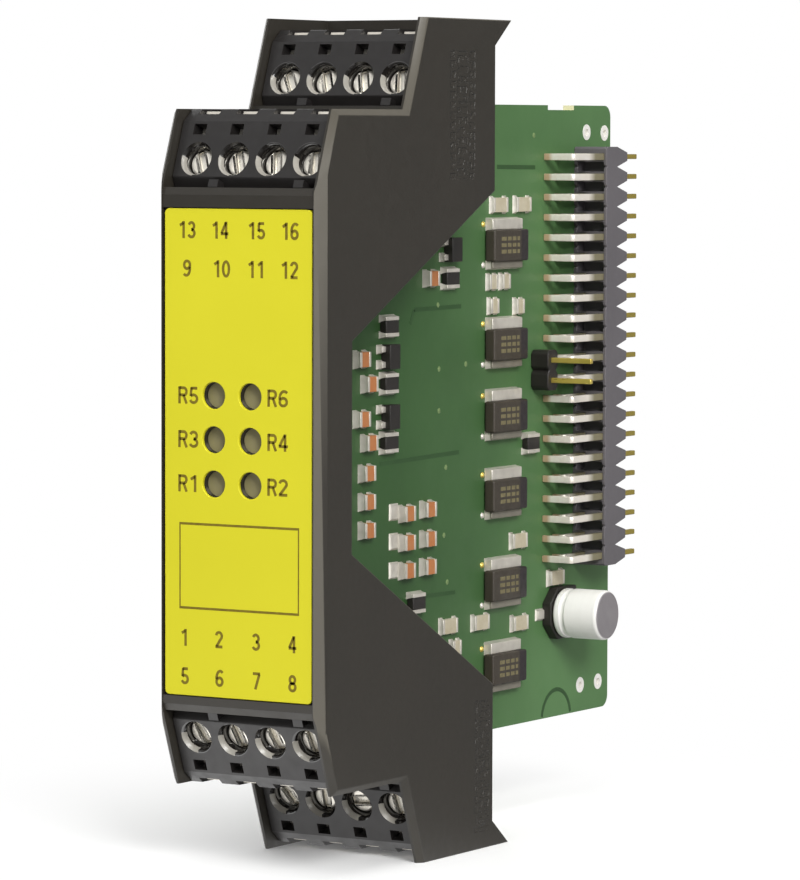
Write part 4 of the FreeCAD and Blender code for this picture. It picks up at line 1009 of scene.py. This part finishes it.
# %% Windows and lamps
LENS_CLOUDS = 400
LED_CLOUDS = 800
smoked_lens = mottled(
    "smoked_lens", screen(142, 136, 102), screen(122, 114, 82), LENS_CLOUDS, roughness=0.3, detail=2)
led_case = mottled(
    "led_case", screen(242, 240, 234), screen(228, 226, 216), LED_CLOUDS, roughness=0.35, detail=2)
dress("light_guides", smoked_lens)
dress("indicator_leds", led_case)
print("windows:", smoked_lens.material.name, "lamps:", led_case.material.name)

# %% [markdown]
# ## The circuit board
# Glass laminate under green solder resist. The resist lies on the two faces only, so the cut edges show
# the pale laminate. The edges could be given a second finish, face by face, but the finish can look at
# which way the surface faces. The copper below makes slow changes of green. The green is also painted
# deeper towards the front, a painted shade where the housing shades the board.

# %% Board finish
SHADED_GREEN_AT = at(0, 36.0, 0).y
LIT_GREEN_AT = at(0, 72.0, 0).y
LAMINATE_SHADE = screen(206, 204, 168)
RESIST_FACING = (0.4, 0.6)
COPPER_CLOUDS = 45
RESIST_PATCHES = 300
RESIST_TEXTURE = 1500
RESIST_RELIEF = 0.01 * MM


def resist_finish():
    """Green resist on the faces of the board, pale laminate on its edges."""
    paint = Finish("board_green", screen(70, 104, 62), 0.4, specular=0.25)
    clouds = paint.spread(paint.grain(COPPER_CLOUDS, 4), *NOISE_RANGE)
    deep = paint.blend(clouds, screen(48, 78, 42), screen(58, 90, 50))
    pale = paint.blend(clouds, screen(72, 106, 64), screen(88, 124, 78))
    # Painted shade: the green turns deeper towards the front, where the housing shades the board.
    resist = paint.blend(paint.spread(paint.along("Y"), SHADED_GREEN_AT, LIT_GREEN_AT), deep, pale)
    paint.feed(paint.blend(paint.facing("X", *RESIST_FACING), LAMINATE_SHADE, resist), "Base Color")
    paint.uneven(paint.grain(RESIST_PATCHES, 3), 0.34, 0.48)
    paint.relief(paint.grain(RESIST_TEXTURE, 2), RESIST_RELIEF, 0.4)
    return paint


board_green = resist_finish()
dress("circuit_board", board_green)
print("board:", board_green.material.name)

# %% [markdown]
# ## Tracks
# Copper tracks show through the resist as slightly darker lines, a few hundredths of a millimetre proud.
# They could be painted in the board's finish, but a thin bar also catches the light along its edge. Only
# some are plain enough to see. One bends round a half circle at the lower edge. On the hidden side,
# tracks run from the relays back towards the pin header.

# %% Draw the tracks
TRACK_LIFT = 0.02 * MM
TRACK_HALF = 0.26 * MM
TRACKS = [
    [(38.8, 15.1), (49.9, 15.2)], [(38.8, 15.1), (37.9, 13.4)], [(31.0, -3.1), (49.5, -2.7)],
    [(41.5, -19.8), (48.7, -19.9)], [(58.5, 32.2), (68.0, 32.1)],
]
ARC_MIDDLE = (74.0, -38.07)
ARC_RADIUS = 3.7
ARC_ENDS = (8, 172)
UNDER_LEVELS = [20.2, 17.0, 13.8, 6.2, 3.0, -0.2, -7.8, -11.0, -14.2]
UNDER_START = 68.2
UNDER_END = 76.5
UNDER_DROP = 1.2
UNDER_TURN = UNDER_END - UNDER_DROP


def track(work, start, end, face, lift):
    """A flat bar between two places (back, up) on one face of the board."""
    first = at(0, *start)
    last = at(0, *end)
    way = (last - first).normalized()
    aside = Vector((0, -way.z, way.y)) * TRACK_HALF
    corners = (first + aside, last + aside, last - aside, first - aside)
    join_rings(work, [[(height, corner.y, corner.z) for corner in corners] for height in (face, face + lift)])


track_green = mottled(
    "track_green", screen(54, 84, 48), screen(40, 68, 36), RESIST_PATCHES, roughness=0.42, specular=0.25)
copper = bmesh.new()
arc = bow(*ARC_MIDDLE, ARC_RADIUS, ARC_RADIUS, *ARC_ENDS)
for start, end in TRACKS + list(zip(arc, arc[1:])):
    track(copper, start, end, BOARD_FACE, TRACK_LIFT)
for level in UNDER_LEVELS:
    track(copper, (UNDER_START, level), (UNDER_TURN, level), BOARD_UNDER, -TRACK_LIFT)
    track(copper, (UNDER_TURN, level), (UNDER_END, level - UNDER_DROP), BOARD_UNDER, -TRACK_LIFT)
show_drawn("board_tracks", copper, track_green)
print("tracks:", len(TRACKS) + len(UNDER_LEVELS))

# %% [markdown]
# ## Vias and plated holes
# Vias are small pale dots where a track goes through the board. The four holes in the corners are plated
# through as well: a tinned tube in the hole with a flat collar on each face. Ready cylinders would have
# to be cut into each other. Turning a profile about the hole's line gives a dot from two rings, and a
# tube with both its collars from one closed profile.

# %% Turn the vias and holes
VIA_RADIUS = 0.34 * MM
VIA_PROFILE = [(BOARD_FACE, VIA_RADIUS), (BOARD_FACE + 2 * TRACK_LIFT, 0.8 * VIA_RADIUS)]
VIA_SIDES = 16
VIA_CLOUDS = 2000
VIAS = [
    (67.7, 36.1), (44.4, 15.5), (44.7, 7.7), (44.7, 2.6), (51.1, 8.05), (46.4, -4.4), (46.0, -12.7),
    (46.8, -18.5),
]
PLATED_HOLES = [(81.2, 36.5), (85.9, 36.4), (80.2, -34.4), (84.9, -34.4)]
HOLE_RADIUS = 0.8 * MM
TUBE_RADIUS = 0.45 * MM
COLLAR_RADIUS = 1.0 * MM
COLLAR_LIFT = 0.04 * MM
HOLE_PROFILE = [
    (BOARD_FACE + COLLAR_LIFT, TUBE_RADIUS), (BOARD_FACE + COLLAR_LIFT, COLLAR_RADIUS),
    (BOARD_FACE, COLLAR_RADIUS), (BOARD_FACE, HOLE_RADIUS),
    (BOARD_UNDER, HOLE_RADIUS), (BOARD_UNDER, COLLAR_RADIUS),
    (BOARD_UNDER - COLLAR_LIFT, COLLAR_RADIUS), (BOARD_UNDER - COLLAR_LIFT, TUBE_RADIUS),
]
HOLE_SIDES = 32


def turn_profile(work, middle, profile, sides, endless=False):
    """A profile of heights and radii, in metres, turned about a line across the board."""
    rings = []
    for height, radius in profile:
        circle = []
        for step in range(sides):
            angle = math.tau * step / sides
            circle.append((height, middle.y + radius * math.cos(angle), middle.z + radius * math.sin(angle)))
        rings.append(circle)
    join_rings(work, rings, endless)


via_pale = mottled(
    "via_pale", screen(128, 148, 98), screen(92, 116, 72), VIA_CLOUDS, roughness=0.4, specular=0.3)
dots = bmesh.new()
for back, level in VIAS:
    turn_profile(dots, at(0, back, level), VIA_PROFILE, VIA_SIDES)
show_drawn("board_vias", dots, via_pale)
holes = bmesh.new()
for back, level in PLATED_HOLES:
    turn_profile(holes, at(0, back, level), HOLE_PROFILE, HOLE_SIDES, True)
show_drawn("plated_holes", holes, bright_tin)
print("vias:", len(VIAS), "plated holes:", len(PLATED_HOLES))

# %% [markdown]
# ## Power diodes
# Six moulded diodes stand in one column. Their epoxy is a brownish black, darker in a band at the rear
# end, with a few rows of small printed bars. The band could be a second mesh, but it follows from the
# place along the depth. The bars need the middle of each diode, and all six share one mesh, so a helper
# finds the separate solids in it by walking from corner to corner.

# %% Find the separate solids of a node
def islands(node):
    """The separate solids in a node's mesh, each as its lowest and highest corners."""
    work = welded(node)
    left = set(work.verts)
    boxes = []
    while left:
        found = [left.pop()]
        members = []
        while found:
            corner = found.pop()
            members.append(corner.co.copy())
            for edge in corner.link_edges:
                other = edge.other_vert(corner)
                if other in left:
                    left.remove(other)
                    found.append(other)
        low = Vector([min(place[axis] for place in members) for axis in range(3)])
        high = Vector([max(place[axis] for place in members) for axis in range(3)])
        boxes.append((low, high))
    work.free()
    return sorted(boxes, key=lambda box: (round(box[0].z, 6), round(box[0].y, 6)))


def rectangle(height, front, rear, bottom, top):
    """The corners of a rectangle that lies along the board, at one height across it."""
    return [(height, front, bottom), (height, rear, bottom), (height, rear, top), (height, front, top)]


diode_boxes = islands("power_diodes")
print("diodes:", len(diode_boxes))

# %% [markdown]
# With the middle of each diode known, the bars are laid out in rows around it. They could be part of the
# finish, but then each diode would need coordinates of its own. Thin bars on the surface are made by one
# loop for all six.

# %% Dress the diodes
DIODE_ROUND = 0.25 * MM
BAND_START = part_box("power_diodes")[1].y - 1.9 * MM
BAND_SOFT = 0.1 * MM
EPOXY_CLOUDS = 350
EPOXY_PATCHES = 900
EPOXY_TEXTURE = 6000
EPOXY_RELIEF = 0.008 * MM
MARK_ROWS = (0.85, 0.05, -0.75)
MARK_PLACES = [(-2.6, -1.4), (-1.1, -0.2), (0.1, 1.0), (1.3, 1.9)]
MARK_HALF = 0.24
MARK_CLOUDS = 3000


def banded_epoxy():
    """Brownish epoxy with a darker band at one end."""
    paint = Finish("component_black", screen(58, 52, 45), 0.5, specular=0.4)
    epoxy = paint.blend(paint.grain(EPOXY_CLOUDS, 4), screen(50, 45, 38), screen(64, 57, 48))
    band = paint.spread(paint.along("Y"), BAND_START - BAND_SOFT, BAND_START + BAND_SOFT)
    paint.feed(paint.blend(band, epoxy, screen(38, 33, 34)), "Base Color")
    paint.uneven(paint.grain(EPOXY_PATCHES, 2), 0.4, 0.6)
    paint.relief(paint.grain(EPOXY_TEXTURE, 2), EPOXY_RELIEF, 0.5)
    return paint


rounded("power_diodes", DIODE_ROUND, banded_epoxy())
diode_print = mottled(
    "diode_print", screen(132, 124, 92), screen(88, 81, 60), MARK_CLOUDS, roughness=0.6, specular=0.2)
marks = bmesh.new()
for low, high in diode_boxes:
    middle = (low + high) / 2
    for row in MARK_ROWS:
        for first, last in MARK_PLACES:
            front = middle.y + first * MM
            rear = middle.y + last * MM
            bottom = middle.z + (row - MARK_HALF) * MM
            top = middle.z + (row + MARK_HALF) * MM
            heights = (high.x - PRINT_LIFT, high.x + PRINT_LIFT)
            join_rings(marks, [rectangle(height, front, rear, bottom, top) for height in heights])
show_drawn("diode_marks", marks, diode_print)
print("bars on each diode:", len(MARK_ROWS) * len(MARK_PLACES))

# %% [markdown]
# The diodes have flat tinned leads above and below, and the lower ones get a darker tin: a painted
# shade, since the light comes from above. Beside the front end of each lead is a small test pad, gilt
# above and tinned below. The two kinds could be told apart by a list, but comparing a height with the
# nearest diode's middle always stays true.

# %% Leads and test pads
LEAD_ROUND = 0.12 * MM
PAD_RADIUS = 0.38 * MM
PAD_HEIGHT = 0.22 * MM
PAD_AHEAD = 0.75 * MM
PAD_SIDES = 20
PAD_SMOOTH = math.radians(80)
PAD_DOME = [(0.0, 1.0), (0.6, 0.85), (1.0, 0.45)]
PAD_PROFILE = [(BOARD_FACE + PAD_HEIGHT * climb, PAD_RADIUS * share) for climb, share in PAD_DOME]
diode_levels = [(low.z + high.z) / 2 for low, high in diode_boxes]


def below_its_diode(level):
    """Whether a height is below the middle of the nearest diode."""
    return level < min(diode_levels, key=lambda middle: abs(middle - level))


leads = rounded("power_diode_leads", LEAD_ROUND, tinned_metal)
# Painted shade: the lower leads take the darker tin.
leads.data.materials.append(painted_shade_tin.material)
for face in leads.data.polygons:
    face.material_index = int(below_its_diode(face.center.z))
gilt_pads = bmesh.new()
tin_pads = bmesh.new()
for low, high in islands("power_diode_leads"):
    middle = Vector((0, low.y - PAD_AHEAD, (low.z + high.z) / 2))
    pads = tin_pads if below_its_diode(middle.z) else gilt_pads
    turn_profile(pads, middle, PAD_PROFILE, PAD_SIDES)
show_drawn("gilt_pads", gilt_pads, gold_pin, PAD_SMOOTH)
show_drawn("tin_pads", tin_pads, tinned_metal, PAD_SMOOTH)
print("lead faces:", len(leads.data.polygons))

# %% [markdown]
# ## Chips, capacitor and relays
# Chip capacitors are tan ceramic, chip resistors are white ceramic with a pale coat, the small
# semiconductors are black epoxy. The capacitor's can has a white sleeve, and its bare top is dull grey
# aluminium. The relays on the hidden side have pale grey cases. Tops and sides could be split into two
# finishes each, but as on the board, one finish can look at which way the surface faces.

# %% Component finishes
CAN_TOP = (0.7, 0.9)
CAN_TOP_METAL = 0.5
SLEEVE_STREAKS = 260
CAN_CLOUDS = 500
CAN_PATCHES = 900
CHIP_TOP = (0.6, 0.8)
GLAZE_CLOUDS = 900
GLAZE_PATCHES = 1500
CASE_CLOUDS = 200
CASE_PATCHES = 900
CASE_TEXTURE = 4500
CASE_RELIEF = 0.008 * MM


def can_finish():
    """A white sleeve with a bare metal top."""
    paint = Finish("can_aluminium", screen(236, 234, 229), 0.42)
    top = paint.facing("X", *CAN_TOP)
    streaks = paint.grain(SLEEVE_STREAKS, 3, (6, 1, 1))
    sleeve = paint.blend(streaks, screen(235, 233, 228), screen(243, 241, 237))
    bare = paint.blend(paint.grain(CAN_CLOUDS, 3), screen(138, 133, 136), screen(160, 155, 157))
    paint.feed(paint.blend(top, sleeve, bare), "Base Color")
    paint.feed(paint.spread(top, 0.0, 1.0, 0.0, CAN_TOP_METAL), "Metallic")
    paint.uneven(paint.grain(CAN_PATCHES, 3, (4, 1, 1)), 0.34, 0.5)
    return paint


def chip_finish(name, side_shade, top_shade):
    """A chip part's ceramic: pale sides and a coloured glaze on its upper face."""
    paint = Finish(name, side_shade, 0.45)
    glaze = paint.blend(paint.grain(GLAZE_CLOUDS, 3), side_shade, top_shade)
    paint.feed(paint.blend(paint.facing("X", *CHIP_TOP), side_shade, glaze), "Base Color")
    paint.uneven(paint.grain(GLAZE_PATCHES, 2), 0.35, 0.55)
    return paint


can_aluminium = can_finish()
chip_ceramic = chip_finish("chip_ceramic", screen(176, 122, 76), screen(178, 100, 46))
chip_resistor = chip_finish("chip_resistor", screen(196, 188, 168), screen(166, 154, 122))
dark_epoxy = mottled("dark_epoxy", screen(40, 36, 33), screen(26, 24, 22), EPOXY_CLOUDS, 0.45, 0.4, 4)
dark_epoxy.relief(dark_epoxy.grain(EPOXY_TEXTURE, 2), EPOXY_RELIEF, 0.5)
relay_case = mottled("relay_case", screen(204, 202, 192), screen(186, 184, 174), CASE_CLOUDS, 0.42)
relay_case.uneven(relay_case.grain(CASE_PATCHES, 2), 0.36, 0.5)
relay_case.relief(relay_case.grain(CASE_TEXTURE, 2), CASE_RELIEF, 0.4)
print("component relief:", round(EPOXY_RELIEF / MM, 3), "mm")

# %% [markdown]
# Every small part gets its own rounding, from a twentieth of a millimetre on the chips to three tenths on
# the relays. A single radius for all would swallow the chips or leave the relays sharp. The can is round
# already, so it keeps its mesh and only gets its finish.

# %% Dress the board's parts
BOARD_PARTS = [
    ("capacitor_base", 0.15, dark_epoxy), ("chip_capacitors", 0.06, chip_ceramic),
    ("chip_resistors", 0.05, chip_resistor), ("small_semiconductors", 0.1, dark_epoxy),
    ("tinned_ends", 0.05, tinned_metal), ("relays", 0.3, relay_case),
]
for node, radius, paint in BOARD_PARTS:
    rounded(node, radius * MM, paint)
dress("capacitor_can", can_aluminium)
print("board parts dressed:", len(BOARD_PARTS) + 1)

# %% [markdown]
# ## The pin headers
# The rear header is a grey strip with a notch between every two positions, and its pins are bent down
# into the board. A curve with a square section could be swept for each pin, but its solid has the right
# bend already. So the bend is rounded first and the corners after that, and the gilt tips come from the
# ramp above. The small upright header beside it is black with two gilt pins.

# %% Dress the headers
HEADER_PARTS = [
    ("rear_header_body", 0.08, header_plastic), ("jumper_header_body", 0.15, dark_epoxy),
    ("jumper_header_pins", 0.1, gold_pin),
]
PIN_ROUND = 0.1 * MM
BEND_ROUND = 0.5 * MM
BEND_STEPS = 5
BEND_ABOVE = BOARD_FACE + 1.5 * MM
BEND_AHEAD = header_low.y - 3.0 * MM
BEND_UPRIGHT = 0.99


def at_bend(edge):
    """The outer edge of a rear pin's bend, which runs upright."""
    in_place = all(corner.co.x > BEND_ABOVE and corner.co.y < BEND_AHEAD for corner in edge.verts)
    return in_place and abs(direction(edge).z) > BEND_UPRIGHT


for node, radius, paint in HEADER_PARTS:
    rounded(node, radius * MM, paint)
rounded("rear_header_pins", PIN_ROUND, pin_metal, bend=(BEND_ROUND, at_bend, BEND_STEPS))
print("header parts:", len(HEADER_PARTS) + 1)

# %% [markdown]
# ## Solder
# Solder climbs up the end of every chip and lead in a hollow slope. A straight chamfer would look like a
# plinth, so three rings around each tinned end give the slope: wide on the board, much narrower a third
# of the way up, close to the metal at the top. Every header pin goes through the board, so on the hidden
# side it ends in a small cone. Three pads near the chips are empty, and hold only a flat cushion of
# solder.

# %% Draw the solder
CHIP_SPREAD = 0.22 * MM
LEAD_SPREAD = 0.15 * MM
SLOPE = [(0.0, 1.0), (0.3, 0.4), (0.7, 0.06)]
CONE = [(0.0, 0.85), (0.25, 0.5), (0.6, 0.36), (0.95, 0.28)]
CONE_PROFILE = [(BOARD_UNDER - climb * MM, radius * MM) for climb, radius in CONE]
CONE_SIDES = 16
EMPTY_PADS = [(34.1, -9.07), (34.1, -12.62), (34.1, -16.1)]
EMPTY_HALF = Vector((0, 0.8 * MM, 0.8 * MM))
CUSHION = 0.35 * MM
PIN_HALF = 0.32 * MM


def solder_slope(work, low, high, face, tip, widest):
    """A hollow slope of solder around a box that stands on a face of the board."""
    rings = []
    for climb, share in SLOPE:
        out = widest * share
        height = face + (tip - face) * climb
        rings.append(rectangle(height, low.y - out, high.y + out, low.z - out, high.z + out))
    join_rings(work, rings)


solder = bmesh.new()
for node, widest in (("tinned_ends", CHIP_SPREAD), ("power_diode_leads", LEAD_SPREAD)):
    for low, high in islands(node):
        if high.x > BOARD_FACE:
            solder_slope(solder, low, high, BOARD_FACE, high.x, widest)
        else:
            solder_slope(solder, low, high, BOARD_UNDER, low.x, widest)
for back, level in EMPTY_PADS:
    middle = at(0, back, level)
    tip = BOARD_FACE + CUSHION
    solder_slope(solder, middle - EMPTY_HALF, middle + EMPTY_HALF, BOARD_FACE, tip, CHIP_SPREAD)
pin_boxes = islands("rear_header_pins") + islands("jumper_header_pins")
for low, high in pin_boxes:
    foot = Vector((0, low.y + PIN_HALF, (low.z + high.z) / 2))
    turn_profile(solder, foot, CONE_PROFILE, CONE_SIDES)
show_drawn("solder", solder, tinned_metal)
print("solder cones:", len(pin_boxes))

# %% [markdown]
# ## The size
# The dressed module has to stay the size of the solids.
